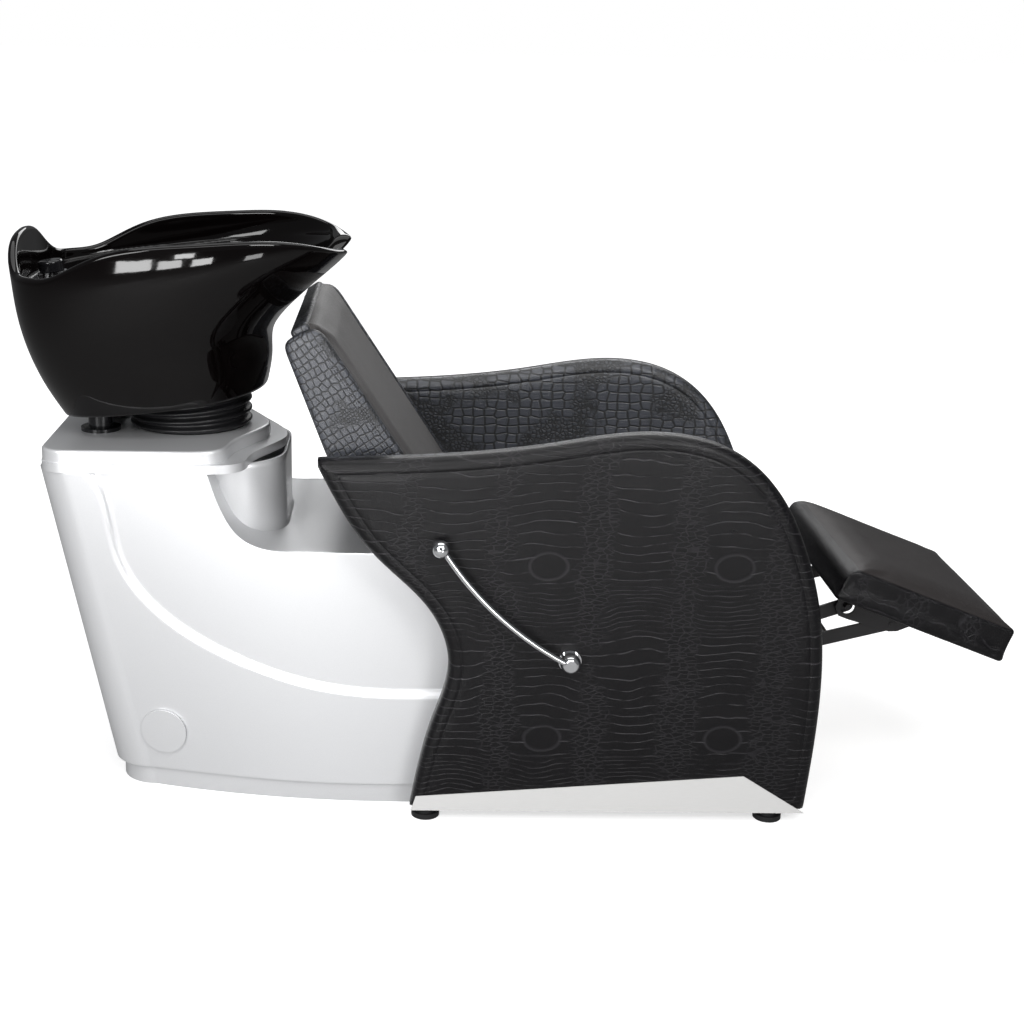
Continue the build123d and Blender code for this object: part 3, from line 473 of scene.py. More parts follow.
def braid(name):
    """Woven steel braid on the supply hoses."""
    s = Shader(name, Metallic=0.85)
    colour = (0.62, 0.63, 0.65)
    weave = s.step(s.cells(s.stretched(420, 420, 420), 0.25), 0.0, 0.4)
    s.set("Base Color", s.colour(weave, tuple(0.25 * c for c in colour), colour))
    s.set("Roughness", s.mix(weave, 0.6, 0.3))
    s.bump(weave, 0.8, 0.0006)
    return s.material


CROC_LEFT = croc_leather("croc_left_panel", phase=(0.100, -0.307), squares=-1.0)
CROC_RIGHT = croc_leather("croc_right_panel", phase=(0.100, -0.307), squares=1.0)
CROC_SMALL = croc_leather("croc_trim", scale=0.62, squares=2.0)
CROC_FOOT = croc_leather("croc_footrest", scale=0.7, phase=(0.02, 0.03), smooth_above=0.0605)
SMOOTH = smooth_leather("plain_vinyl")
SILVER = silver_paint("silver_paint")
CERAMIC = ceramic("black_china")
CHROME = metal("chrome", (0.88, 0.885, 0.90), 0.03, 0.09, strength=0.015)
KICK = metal("polished_kick_plate", (0.90, 0.895, 0.885), 0.16, 0.24, brush=(0.25, 12.0, 12.0),
             metallic=0.35)
ZINC = metal("zinc_plate", (0.55, 0.56, 0.57), 0.32, 0.48)
BRASS = metal("plated_brass", (0.72, 0.70, 0.66), 0.16, 0.30)
FRAME_PAINT = plastic("frame_paint", (0.016, 0.015, 0.016), 0.38, 0.52)
RUBBER = plastic("rubber", (0.010, 0.010, 0.011), 0.30, 0.48, 500, 0.25)
BLACK_PLASTIC = plastic("black_plastic", (0.012, 0.012, 0.013), 0.35, 0.5)
GLOSS_BLACK = plastic("gloss_black", (0.008, 0.008, 0.009), 0.08, 0.16, 300, 0.03)
WHITE_PLASTIC = plastic("white_plastic", (0.72, 0.72, 0.70), 0.35, 0.45)
GREY_HOSE = plastic("grey_hose", (0.20, 0.20, 0.21), 0.45, 0.6)
PLYWOOD = plywood("plywood")
BRAID = braid("steel_braid")
THREAD = plastic("thread", (0.022, 0.022, 0.024), 0.55, 0.7, 3000, 0.5)

CARRIED_OVER = (
    (FRAME_PAINT, "base_frame seat_frame seat_board back_brackets mechanism_plates pivot_pins"
                  " drive_rod lower_rear_links lower_front_links lower_elbow_pins upper_rear_links"
                  " upper_front_links upper_elbow_pins upper_end_pins footrest_brackets"),
    (PLYWOOD, "side_board_left side_board_right footrest_board"),
    (KICK, "kick_plate_left kick_plate_right"),
    (SILVER, "side_cap_left side_cap_right pedestal_plinth rear_access_panel deck_collar deck_plate"),
    (SMOOTH, "backrest_board"),
    (BLACK_PLASTIC, "levelling_feet"),
    (GLOSS_BLACK, "tilt_stops tap_knob"),
    (ZINC, "access_screws hinge_bracket tilt_pin panel_bolts basin_mount_plate lever_shaft"),
    (WHITE_PLASTIC, "trap tailpiece"),
    (BRASS, "stop_valves"),
    (CHROME, "lever_bush waste_flange strainer tap_body lever_hub lever_rod lever_ball"),
)


# ---- flat upholstered shapes ----
def distance_to(points, line):
    """Distance of each point from a closed polyline."""
    a, b = line, np.roll(line, -1, 0)
    best = np.full(len(points), 1e9)
    for k in range(len(a)):
        ab = b[k] - a[k]
        t = np.clip(((points - a[k]) @ ab) / max(ab @ ab, 1e-9), 0, 1)
        best = np.minimum(best, np.linalg.norm(points - a[k] - t[:, None] * ab, axis=1))
    return best


def inside(points, line):
    """True for each point within a closed polyline."""
    x, y = points[:, 0], points[:, 1]
    result = np.zeros(len(points), bool)
    for (x0, y0), (x1, y1) in zip(line, np.roll(line, -1, 0)):
        crosses = (y0 > y) != (y1 > y)
        with np.errstate(divide="ignore", invalid="ignore"):
            result ^= crosses & (x < (x1 - x0) * (y - y0) / (y1 - y0) + x0)
    return result


def pillow(name, outline, half, matrix, radius=18.0, spacing=11.0, seam=None, swell=0.0):
    """Upholstered slab in local XY: rounded edges, a sewn groove at the seam inset, slight swell."""
    outline = np.asarray(outline, float)
    nxt, prev = np.roll(outline, -1, 0), np.roll(outline, 1, 0)
    tangent = unit(nxt - prev)
    area = np.sum(outline[:, 0] * nxt[:, 1] - nxt[:, 0] * outline[:, 1])
    inward = np.stack([-tangent[:, 1], tangent[:, 0]], 1) * (1 if area > 0 else -1)
    insets = [radius * (1 - math.cos(a)) for a in np.linspace(0, math.pi / 2, 7)[1:]]
    if seam:
        insets += [seam + d for d in (-3.0, -1.4, 0.0, 1.4, 3.0)]
    points = [outline]
    for inset in sorted(insets):
        ring = outline + inward * inset
        ring = ring[inside(ring, outline)]
        points.append(ring[distance_to(ring, outline) > inset * 0.97])
    low, high = outline.min(0), outline.max(0)
    gx, gy = np.meshgrid(np.arange(low[0], high[0], spacing), np.arange(low[1], high[1], spacing))
    grid = np.stack([gx.ravel(), gy.ravel()], 1)
    grid = grid[inside(grid, outline)]
    points.append(grid[distance_to(grid, outline) > max(insets) + spacing * 0.4])
    flat = np.concatenate(points)
    edge = [(i, (i + 1) % len(outline)) for i in range(len(outline))]
    co, _, faces, *_ = delaunay_2d_cdt([Vector(p) for p in flat], edge, [], 1, 1e-5)
    co = np.array([tuple(v) for v in co])
    d = distance_to(co, outline)
    round_part = np.clip(1 - d / radius, 0, 1)
    z = (half - radius) + radius * np.sqrt(np.clip(1 - round_part**2, 0, 1))
    z += swell * (1 - np.exp(-np.clip(d - radius, 0, None) / 45)) - swell
    if seam:
        z -= 1.5 * np.exp(-((d - seam) / 1.5) ** 2)
    n = len(co)
    verts = np.concatenate([np.column_stack([co, z]), np.column_stack([co, -z])])
    quads = [tuple(f) for f in faces] + [tuple(i + n for i in reversed(f)) for f in faces]
    quads += [(a, b, b + n, a + n) for a, b in edge]
    return build(name, verts, quads, matrix)


# ---- stuffed box pads ----
def steps(low, high, spacing, radius):
    """Positions from low to high, closer together in the rounded ends."""
    ends = radius * (1 - np.cos(np.linspace(0, math.pi / 2, 6)))
    n = max(2, int((high - low - 2 * radius) / spacing) + 1)
    middle = np.linspace(low + radius, high - radius, n + 1)
    return np.concatenate([low + ends[:-1], middle, (high - ends[:-1])[::-1]])


def pad_box(name, x, y, z, radius, spacing, matrix):
    """Closed box with rounded edges as an even quad mesh."""
    axes = [steps(*span, spacing, radius) for span in (x, y, z)]
    verts, faces = [], []
    for axis in range(3):
        a, b = [k for k in range(3) if k != axis]
        for end in (0, -1):
            rows = np.zeros((len(axes[a]), len(axes[b]), 3))
            rows[..., a] = axes[a][:, None]
            rows[..., b] = axes[b][None, :]
            rows[..., axis] = axes[axis][end]
            faces += skin(rows, loop_points=False, first=len(verts))
            verts += rows.reshape(-1, 3).tolist()
    verts = np.array(verts)
    low, high = np.array((x, y, z), float).T
    core = np.clip(verts, low + radius, high - radius)
    out = verts - core
    length = np.linalg.norm(out, axis=1)
    reach = np.max(np.abs(out), axis=1)
    verts = core + out * np.where(length > 0, reach / np.maximum(length, 1e-9), 1)[:, None]
    return build(name, verts, faces, matrix)


def read_points(ob):
    """The object's local points, in millimetres."""
    co = np.zeros(len(ob.data.vertices) * 3)
    ob.data.vertices.foreach_get("co", co)
    return co.reshape(-1, 3) / MM


def move_points(ob, change):
    """Applies change to the object's local points, in millimetres."""
    ob.data.vertices.foreach_set("co", (change(read_points(ob)) * MM).ravel())
    ob.data.update()


def inflate(ob, held, cap, pressure=4.0, frames=20):
    """Swells the pad as cloth over stuffing; held points stay, and none moves further than cap."""
    start = read_points(ob)
    group = ob.vertex_groups.new(name="held")
    group.add(np.nonzero(held(start))[0].tolist(), 1.0, "REPLACE")
    cloth = ob.modifiers.new("Cloth", "CLOTH")
    cloth.settings.quality = 5
    cloth.settings.mass = 0.3
    cloth.settings.tension_stiffness = 30
    cloth.settings.compression_stiffness = 30
    cloth.settings.bending_stiffness = 0.6
    cloth.settings.use_pressure = True
    cloth.settings.uniform_pressure_force = pressure
    cloth.settings.vertex_group_mass = "held"
    cloth.settings.effector_weights.gravity = 0
    cloth.collision_settings.use_collision = False
    cloth.collision_settings.use_self_collision = False
    for f in range(1, frames + 1):
        scene.frame_set(f)
    graph = bpy.context.evaluated_depsgraph_get()
    moved = read_points(ob.evaluated_get(graph)) - start
    length = np.linalg.norm(moved, axis=1)[:, None]
    moved *= np.minimum(1, cap * np.tanh(length / cap) / np.maximum(length, 1e-6))
    ob.modifiers.remove(cloth)
    ob.vertex_groups.clear()
    scene.frame_set(1)
    move_points(ob, lambda p: start + moved)


def refine(ob):
    """One round of subdivision, applied."""
    mod = ob.modifiers.new("Subdivision", "SUBSURF")
    mod.levels = mod.render_levels = 1
    graph = bpy.context.evaluated_depsgraph_get()
    me = bpy.data.meshes.new_from_object(ob.evaluated_get(graph))
    ob.modifiers.remove(mod)
    ob.data = me


def stuff(pad, crown, held_below, cap, low, high):
    """Crowns the pad, swells it as cloth, keeps it between low and high, and refines it."""
    move_points(pad, crown)
    inflate(pad, lambda p: p[:, 2] < held_below, cap)
    move_points(pad, lambda p: np.clip(p, low, high))
    refine(pad)


# ---- side panels ----
ARM_Y, ARM_HALF = 298.0, 26.0
PANEL_Z = 20.0


def panel_outline(step=7.0):
    crest = curve([(-322, 628), (-150, 635), (50, 656), (206, 677), (334, 654), (408, 600),
                   (467, 502), (508, 364), (518, 240), (506, PANEL_Z)], step)
    base = straight((506, PANEL_Z), (-168, PANEL_Z), step)
    rear = curve([(-168, PANEL_Z), (-132, 179), (-107, 275), (-139, 374), (-230, 468), (-322, 616)],
                 step)
    return np.concatenate([crest[:-1], base[:-1], rear[:-1], straight((-322, 616), (-322, 628), 4)])


def arm_panel(name, side, node):
    """Padded side panel with the crest seam on both faces."""
    matrix = frame_of((1, 0, 0), (0, -1, 0), (0, side * ARM_Y, 0))
    ob = pillow(name, panel_outline()[:-1], ARM_HALF - 0.1, matrix, radius=17, seam=23.0, swell=1.5)
    finish_piece(ob, CROC_LEFT if side < 0 else CROC_RIGHT, "base", [node])


for side, word in ((-1, "left"), (1, "right")):
    arm_panel(f"arm_panel_{word}", side, f"arm_pad_{word}")


# ---- backrest ----
BACK_FOOT = (-58.0, 0.0, 432.0)
LEAN = math.radians(33.5)
BACK_UP = (-math.sin(LEAN), 0, math.cos(LEAN))
BACK_OUT = (math.cos(LEAN), 0, math.sin(LEAN))
BACK = frame_of(BACK_UP, BACK_OUT, BACK_FOOT)
BACK_LENGTH, BACK_TOP, BACK_HALF, WING_W = 480.0, 494.0, 248.0, 24.0


def backrest_pad():
    half = BACK_HALF - WING_W - 0.6
    pad = pad_box("backrest_pad", (0, BACK_TOP), (-half, half), (-45, -3), 16, 9, BACK)

    def crown(p):
        edge = smoothstep((half - np.abs(p[:, 1])) / 60) * smoothstep((BACK_TOP - p[:, 0]) / 70)
        front = smoothstep((p[:, 2] + 30) / 26)
        p[:, 2] += 3.0 * edge * front
        roll = smoothstep((p[:, 0] - BACK_TOP + 34) / 36)
        p[:, 2] -= 7.0 * roll * roll * front
        return p

    stuff(pad, crown, -40, 4.0, (-2, -half, -45.4), (BACK_TOP + 2, half, 2.5))
    finish_piece(pad, SMOOTH, "base", ["backrest_cushion"])
    roll = pad_box("backrest_top_roll", (BACK_LENGTH - 25, BACK_TOP + 0.7), (-half, half),
                   (-50, -17), 8, 8, BACK)
    finish_piece(roll, CROC_SMALL, "base", ["backrest_cushion"])


def wing_outline():
    corners = [(24, -1), (466, -1), (484, -12), (488, -66), (297, -109), (200, -126), (108, -125)]
    line = closed(corners, 7)
    for _ in range(5):
        line = (np.roll(line, 1, 0) + 2 * line + np.roll(line, -1, 0)) / 4
    return line


def back_wing(name, side, node):
    """Bolster at the backrest's edge, with a double row of stitches along its front."""
    centre = np.array(BACK_FOOT) + np.array([0, side * (BACK_HALF - WING_W / 2), 0])
    plane = frame_of(BACK_UP, (0, 1, 0), centre)
    ob = pillow(name, wing_outline(), WING_W / 2, plane, radius=11, spacing=9)
    finish_piece(ob, CROC_SMALL, "base", [node])
    stitches = []
    for depth in (14.5, 18.5):
        for x in np.arange(150, BACK_LENGTH - 26, 7.0):
            for face in (-1, 1):
                z = face * (WING_W / 2 + 0.15)
                sunk = z - face * 0.9
                stitches.append([(x, -depth, sunk), (x + 1.2, -depth, z),
                                 (x + 3.8, -depth, z), (x + 5, -depth, sunk)])
    thread = tubes(f"{name}_stitches", stitches, 0.55, plane, sides=6)
    finish_piece(thread, THREAD, "base")


backrest_pad()
for side, word in ((-1, "left"), (1, "right")):
    back_wing(f"back_bolster_{word}", side, f"back_wing_{word}")


# ---- seat ----
def seat():
    pad = pad_box("seat_pad", (-31, 481), (-265, 265), (392.6, 459), 20, 10, Matrix.Identity(4))

    def crown(p):
        along = smoothstep((p[:, 0] + 31) / 120) * smoothstep((481 - p[:, 0]) / 150)
        across = smoothstep((265 - np.abs(p[:, 1])) / 120)
        p[:, 2] += 4 * along * across * smoothstep((p[:, 2] - 400) / 40)
        return p

    stuff(pad, crown, 397, 5.0, (-33, -268, 392.4), (484, 268, 467))
    finish_piece(pad, SMOOTH, "base", ["seat_cushion"])
    low, high = (np.array(v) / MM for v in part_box("front_apron"))
    notch = [(145, low[2]), (145, 358), (172, 358), (172, low[2])]
    far = [(high[1], low[2]), (high[1], high[2]), (low[1], high[2]), (low[1], low[2])]
    line = closed([(-y, z) for y, z in reversed(notch)] + notch + far, 6)
    plane = frame_of((0, 1, 0), (1, 0, 0), ((low[0] + high[0]) / 2, 0, 0))
    apron = pillow("seat_apron", line, (high[0] - low[0]) / 2, plane, radius=4, spacing=9)
    finish_piece(apron, CROC_SMALL, "base", ["front_apron"])


seat()


# ---- footrest ----
DROP = math.radians(21)
REST = tilted(-DROP, (551, 0, 370))
REST_LENGTH, REST_HALF, REST_T = 336.0, 220.0, 66.0


def footrest():
    pad = pad_box("footrest_pad", (1, REST_LENGTH - 11), (-REST_HALF + 2, REST_HALF - 2),
                  (0.5, REST_T - 3), 8, 7, REST)

    def shape(p):
        rear = 30.0
        near = np.clip(1 + rear - p[:, 0], 0, None) / rear
        top = np.clip((p[:, 2] - REST_T + rear) / rear, 0, 1)
        p[:, 2] -= rear * top * (1 - np.sqrt(np.clip(1 - near**2, 0, 1))) * 0.92
        crown = smoothstep((REST_HALF - np.abs(p[:, 1])) / 90) * smoothstep(p[:, 0] / 90)
        crown *= smoothstep((REST_LENGTH - p[:, 0]) / 90)
        p[:, 2] += 8 * crown * smoothstep((p[:, 2] - 40) / 20)
        return p

    stuff(pad, shape, 8, 4.0, (-1, -REST_HALF, 0.3), (REST_LENGTH, REST_HALF, REST_T + 9))
    finish_piece(pad, CROC_FOOT, "footrest", ["footrest_cushion"])


footrest()


# ---- pedestal ----
PED_FRONT, PED_TOP, PED_LOW = -60.0, 575.0, 36.0
LEDGE, DECK_LEVEL = 8.0, 446.0
BACK_COLUMNS = 44
LOW_REAR, HIGH_REAR = -694.0, -796.0
ACCESS_HALF, ACCESS_LOW, ACCESS_HIGH, ACCESS_BEHIND = 120, 130, 430, -690
NOTCH_REAR, NOTCH_HALF = -230.5, 224.8


def outline_at(u_side, back, half, front_half, corner):
    """Half of the plan outline: the side from the front, the corner's arc, then the back."""
    b, r = back, corner
    x = PED_FRONT + (b + r - PED_FRONT) * u_side
    mid = (b + r + PED_FRONT) / 2
    y = cubic([b + r, mid, PED_FRONT], [-half, -front_half + 3, -front_half])(x)
    a = np.linspace(0, math.pi / 2, 14)[1:]
    arc = np.stack([b + r - r * np.sin(a), -half + r - r * np.cos(a)], 1)
    across = np.linspace(1, 0, BACK_COLUMNS // 2 + 1)[1:]
    rear = np.stack([np.full(len(across), b), arc[-1, 1] * across], 1)
    return np.concatenate([np.stack([x, y], 1), arc, rear])


def scoop_height():
    """Height of the shell's upper edge over X: head, scoop, lower deck."""
    line = curve([(-511, PED_TOP), (-503, 549), (-486, 507), (-460, 470), (-420, 450),
                  (-360, DECK_LEVEL)], 2)
    line = np.concatenate([[(-900, PED_TOP)], line, [(-50, DECK_LEVEL)]])
    return lambda x: np.interp(x, line[:, 0], line[:, 1])


def ledge_distance(x, z):
    """Signed distance from the swept ledge, positive on the upper, recessed side."""
    line = curve([(-760, 600), (-705, 566), (-671, 438), (-591, 321), (-464, 248), (-328, 207),
                  (PED_FRONT - 1, 197)], 8)
    p = np.stack([x, z], 1)
    best, sign = np.full(len(p), 1e9), np.ones(len(p))
    for a, b in zip(line[:-1], line[1:]):
        ab = b - a
        t = np.clip(((p - a) @ ab) / (ab @ ab), 0, 1)
        away = p - a - t[:, None] * ab
        d = np.linalg.norm(away, axis=1)
        cross = ab[0] * (p[:, 1] - a[1]) - ab[1] * (p[:, 0] - a[0])
        closer = d < best
        best[closer] = d[closer]
        sign[closer] = np.sign(cross[closer])
    return best * sign


def cut_window(ob, half, low, high, behind):
    """Opens a rectangular window in the faces behind an X, all in millimetres."""
    bm = bmesh.new()
    bm.from_mesh(ob.data)
    for place, normal in (((0, -half, 0), (0, 1, 0)), ((0, half, 0), (0, 1, 0)),
                          ((0, 0, low), (0, 0, 1)), ((0, 0, high), (0, 0, 1))):
        back = [f for f in bm.faces if f.calc_center_median().x < behind * MM]
        edges = {e for f in back for e in f.edges}
        verts = {v for f in back for v in f.verts}
        bmesh.ops.bisect_plane(bm, geom=[*back, *edges, *verts], plane_co=Vector(place) * MM,
                               plane_no=normal)
    gone = []
    for f in bm.faces:
        c = f.calc_center_median() / MM
        if c.x < behind and abs(c.y) < half and low < c.z < high:
            gone.append(f)
    bmesh.ops.delete(bm, geom=gone, context="FACES")
    bm.to_mesh(ob.data)
    bm.free()


def pedestal():
    u = np.unique(np.concatenate([np.linspace(0, 1, 150), np.linspace(0.54, 0.72, 70)]))
    low = outline_at(u, LOW_REAR, 200, 258, 70)
    high = outline_at(u, HIGH_REAR, 214, 232, 55)
    edge_z = scoop_height()
    z_low, z_high = np.full(len(low), PED_LOW), np.full(len(low), PED_TOP)
    for _ in range(40):
        z = (z_low + z_high) / 2
        x = low[:, 0] + (high[:, 0] - low[:, 0]) * (z - PED_LOW) / (PED_TOP - PED_LOW)
        below = z < edge_z(x)
        z_low, z_high = np.where(below, z, z_low), np.where(below, z_high, z)
    z_edge = z_high
    rows = 130
    k = np.linspace(0, 1, rows)
    z = PED_LOW + (z_edge - PED_LOW)[:, None] * k
    t = ((z - PED_LOW) / (PED_TOP - PED_LOW))[..., None]
    plan = low[:, None] * (1 - t) + high[:, None] * t
    tangent = unit(np.gradient(plan, axis=0))
    outward = np.stack([tangent[..., 1], -tangent[..., 0]], 2)
    outward *= -np.sign(outward[:1, :, 1:2])
    d = ledge_distance(plan[..., 0].ravel(), z.ravel()).reshape(z.shape)
    recess = LEDGE * smoothstep((d + 1.0) / 12.0)
    plan = plan - outward * recess[..., None]
    near = np.concatenate([plan, z[..., None]], 2)
    far = near * np.array([1, -1, 1])
    wall = np.concatenate([near, far[::-1][1:]])
    verts = wall.reshape(-1, 3).tolist()
    faces = skin(wall, loop_points=False)
    # the surface across the top, from the notch's rear edge to the back
    edge = near[:len(u) + 13, -1]
    top = edge[edge[:, 0] < NOTCH_REAR + 1]
    w = np.linspace(-1, 1, BACK_COLUMNS + 1)
    across = np.repeat(top[:, None], BACK_COLUMNS + 1, 1)
    across[..., 1] = top[:, 1:2] * -w
    faces += skin(across, loop_points=False, first=len(verts))
    verts += across.reshape(-1, 3).tolist()
    # the two strips beside the backrest's foot
    beside = edge[edge[:, 0] > NOTCH_REAR - 1]
    for side in (1, -1):
        strip = np.stack([beside * (1, side, 1), beside * (1, 0, 1) + (0, -NOTCH_HALF * side, 0)], 1)
        faces += skin(strip[:, ::side], loop_points=False, first=len(verts))
        verts += strip[:, ::side].reshape(-1, 3).tolist()
    ob = build("pedestal_body", verts, faces)
    cut_window(ob, ACCESS_HALF, ACCESS_LOW, ACCESS_HIGH, ACCESS_BEHIND)
    thicken(ob)
    bevel(ob, 0.0035, 38)
    finish_piece(ob, SILVER, "base", ["pedestal_shell"])


def pedestal_column():
    """Rounded column with a small fillet where it meets the lower deck."""
    nose, half, r = -390.0, 150.0, 95.0
    a = np.linspace(0, math.pi / 2, 22)
    turn = np.stack([nose - r + r * np.sin(a), -half + r - r * np.cos(a)], 1)
    side = straight((-600, -half), (nose - r, -half), 8)[:-1]
    near = np.concatenate([side, turn, straight((nose, -half + r), (nose, 0), 8)[1:]])
    plan = np.concatenate([near, (near * np.array([1, -1]))[::-1][1:]])
    tangent = unit(np.gradient(plan, axis=0))
    outward = np.stack([tangent[:, 1], -tangent[:, 0]], 1)
    rows = []
    for z in np.concatenate([np.linspace(440, 462, 12), np.linspace(470, 576, 10)]):
        flare = 7.0 * math.exp(-(z - 442) / 6.0)
        rows.append(np.column_stack([plan + outward * flare, np.full(len(plan), z)]))
    rows = np.array(rows)
    ob = build("pedestal_column", rows.reshape(-1, 3), skin(rows, loop_points=False))
    thicken(ob)
    finish_piece(ob, SILVER, "base", ["pedestal_shell"])


pedestal()
pedestal_column()


# ---- basin ----
BASIN_LEAN = math.radians(7)
BASIN_ORIGIN = (-510, 0, 680)
BASIN = tilted(BASIN_LEAN, BASIN_ORIGIN)
OUTER = ((0, -262, 84, 174), (45, -280, 97, 196), (95, -295, 108, 213), (145, -304, 160, 228),
         (195, -307, 234, 240), (235, -306, 284, 247), (270, -305, 292, 247), (320, -302, 294, 240))
BOWL = ((42, -140, 20, 90), (70, -186, 68, 158), (110, -202, 96, 190), (150, -210, 140, 208),
        (200, -215, 208, 222), (240, -218, 256, 231), (330, -220, 272, 237))
DRAIN, DRAIN_R = (-95.0, 0.0), 22.0
TAP_LEDGE, NOTCH_R, RIM = 226.0, 92.0, 7.0
AROUND, CHINA = 320, 14.0


def egg(theta, sizes, inset=0.0, taper=0.2):
    """Plan points at the given angles of a section that is boxy at the back, oval at the front."""
    back, front, half = sizes[..., 0] + inset, sizes[..., 1] - inset, sizes[..., 2] - inset
    middle = back + (front - back) * 0.48
    c, s = np.cos(theta), np.sin(theta)
    n = np.where(c > 0, 2.35, 5.0)
    phi = np.arctan2(np.abs(s) ** (n / 2), np.abs(c) ** (n / 2))
    along, aside = np.cos(phi) ** (2 / n), np.sin(phi) ** (2 / n)
    x = np.where(c > 0, middle + (front - middle) * along, middle - (middle - back) * along)
    wide = np.where(c > 0, half, half * (1 - taper * along * along))
    return x, wide * aside * np.sign(s)


def rim_height(x, y):
    """Height of the rim over plan: side line, splash arch behind the taps, neck rest."""
    side = np.array([(-340, 249), (-280, 248), (-228, 244), (-190, 255), (-142, 271), (-63, 280),
                     (35, 276), (190, 255), (262, 228), (330, 206)], float)
    z = cubic(side[:, 0], side[:, 1])(np.clip(x, -340, 330))
    arch = np.array([(0, 310), (50, 306), (90, 294), (125, 272), (150, 255), (172, 246),
                     (200, 242)], float)
    splash = cubic(arch[:, 0], arch[:, 1])(np.clip(np.abs(y), 0, 200))
    z = z + np.clip(splash - z, 0, None) * smoothstep((-238 - x) / 34)
    neck = 262 - np.sqrt(np.clip(NOTCH_R**2 - y**2, 0, None))
    neck = np.where((np.abs(y) < NOTCH_R) & (x > 100), neck, 400)
    soft = 9.0
    h = np.clip(0.5 + 0.5 * (neck - z) / soft, 0, 1)
    return neck * (1 - h) + z * h - soft * h * (1 - h)


def basin():
    theta = np.linspace(0, 2 * math.pi, AROUND, endpoint=False)
    outer = cubic([s[0] for s in OUTER], [s[1:] for s in OUTER])
    bowl = cubic([s[0] for s in BOWL], [s[1:] for s in BOWL])
    top = np.full(AROUND, 250.0)
    for _ in range(60):
        x, y = egg(theta, outer(top))
        top = 0.5 * top + 0.5 * rim_height(x, y)
    for _ in range(3):
        top = (np.roll(top, 1) + 2 * top + np.roll(top, -1)) / 4

    def ring(section, level, inset=0.0, lift=0.0):
        """A section's outline at a level, inset all round and then lifted."""
        return np.stack([*egg(theta, section(level), inset), level + lift], 1)

    def inner_face(z):
        """The inner face: the wall where there is a tap ledge, the bowl elsewhere."""
        return ring(outer, z, CHINA) * high + ring(bowl, z) * (1 - high)

    skirt = [ring(outer, (top - RIM) * k) for k in np.linspace(0, 1, 56)]
    high = smoothstep((top - RIM - TAP_LEDGE + 4) / 12)[:, None]
    inner_top = inner_face(top - RIM)
    mid = (skirt[-1] + inner_top) / 2
    reach = (skirt[-1] - inner_top) / 2
    lip = []
    for a in np.linspace(0, math.pi, 12)[1:-1]:
        row = mid + reach * math.cos(a)
        row[:, 2] += RIM * math.sin(a)
        lip.append(row)
    ledge_z = np.minimum(TAP_LEDGE, top - RIM)
    path = [inner_top]
    for k in np.linspace(0, 1, 12)[1:]:
        path.append(inner_face((top - RIM) * (1 - k) + ledge_z * k))
    for k in np.linspace(0, 1, 10)[1:]:
        path.append(inner_face(ledge_z) * (1 - k) + ring(bowl, ledge_z) * k)
    for k in np.linspace(0, 1, 30)[1:]:
        path.append(ring(bowl, ledge_z * (1 - k) + BOWL[0][0] * k))
    edge = path[-1]
    drain = np.stack([DRAIN[0] + DRAIN_R * np.cos(theta), DRAIN_R * np.sin(theta),
                      np.full(AROUND, 41.0)], 1)
    for k in np.linspace(0, 1, 14)[1:]:
        path.append(edge * (1 - k) + drain * k)
    path = np.array(path)
    inner = np.stack([resample(path[:, j], 240) for j in range(AROUND)], 1)
    for _ in range(14):
        inner[1:-1] = (inner[:-2] + 2 * inner[1:-1] + inner[2:]) / 4
    inner = np.stack([resample(inner[:, j], 120) for j in range(AROUND)], 1)
    throat = [drain + np.array([0, 0, z]) for z in (-1.5, -4, -13)]
    # underside: from the drain out under the bowl, then down the foot's inner face
    under = []
    bottom = ring(bowl, np.full(AROUND, float(BOWL[0][0])), -CHINA, -CHINA)
    for k in np.linspace(0, 1, 8)[1:]:
        under.append(throat[-1] * (1 - k) + bottom * k)
    for z in (45, 75, 105, 135, 160):
        level = np.minimum(float(z), top - 40)
        bowl_out = ring(bowl, level + 12, -13.0, -12)
        shell_in = ring(outer, level, CHINA)
        reach_out, reach_in = (np.linalg.norm(p[:, :2], axis=1) for p in (bowl_out, shell_in))
        under.append(np.where((reach_out < reach_in)[:, None], bowl_out, shell_in))
    for k in np.linspace(1, 0, 9):
        under.append(ring(outer, np.minimum(160.0, top - 40) * k, CHINA))
    sole = [ring(outer, np.zeros(AROUND)) * np.array([0.995, 0.99, 1])]
    rows = np.array(skirt + lip + list(inner) + throat + under + sole)
    ob = build("basin_bowl", rows.reshape(-1, 3), skin(rows, loop_rows=True), BASIN)
    ob.data.transform(BASIN)
    ob.matrix_world = Matrix.Identity(4)
    finish_piece(ob, CERAMIC, "basin_body", ["basin"])


basin()


# ---- bellows and hoses ----
def foot_plane(x):
    """World height of the plane under the basin's foot at X."""
    return BASIN_ORIGIN[2] + (x - BASIN_ORIGIN[0]) * math.tan(BASIN_LEAN)


def bellows():
    centre, low, radius, folds = -562.0, 612.4, 104.0, 4
    a = np.linspace(0, 2 * math.pi, 128, endpoint=False)
    rows = []
    for k in np.linspace(0, 1, folds * 16 + 1):
        swing = math.cos(2 * math.pi * folds * k)
        r = radius - 1.5 - 4.5 * (abs(swing) ** 0.7) * (1 if swing > 0 else -1)
        x, y = centre + r * np.cos(a), r * np.sin(a)
        z = low + k * (foot_plane(x) - 0.5 - low)
        rows.append(np.stack([x, y, z], 1))
    inside_rows = [row.copy() for row in rows[::-1]]
    for row in inside_rows:
        row[:, :2] -= unit(row[:, :2] - np.array([centre, 0])) * 5
    rows = np.array(rows + inside_rows)
    ob = build("bellows_folds", rows.reshape(-1, 3), skin(rows, loop_rows=True))
    finish_piece(ob, RUBBER, None, ["bellows"])
    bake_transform(ob)


def in_basin(x, y, z):
    p = BASIN @ (Vector((x, y, z)) * MM)
    return np.array(p) / MM


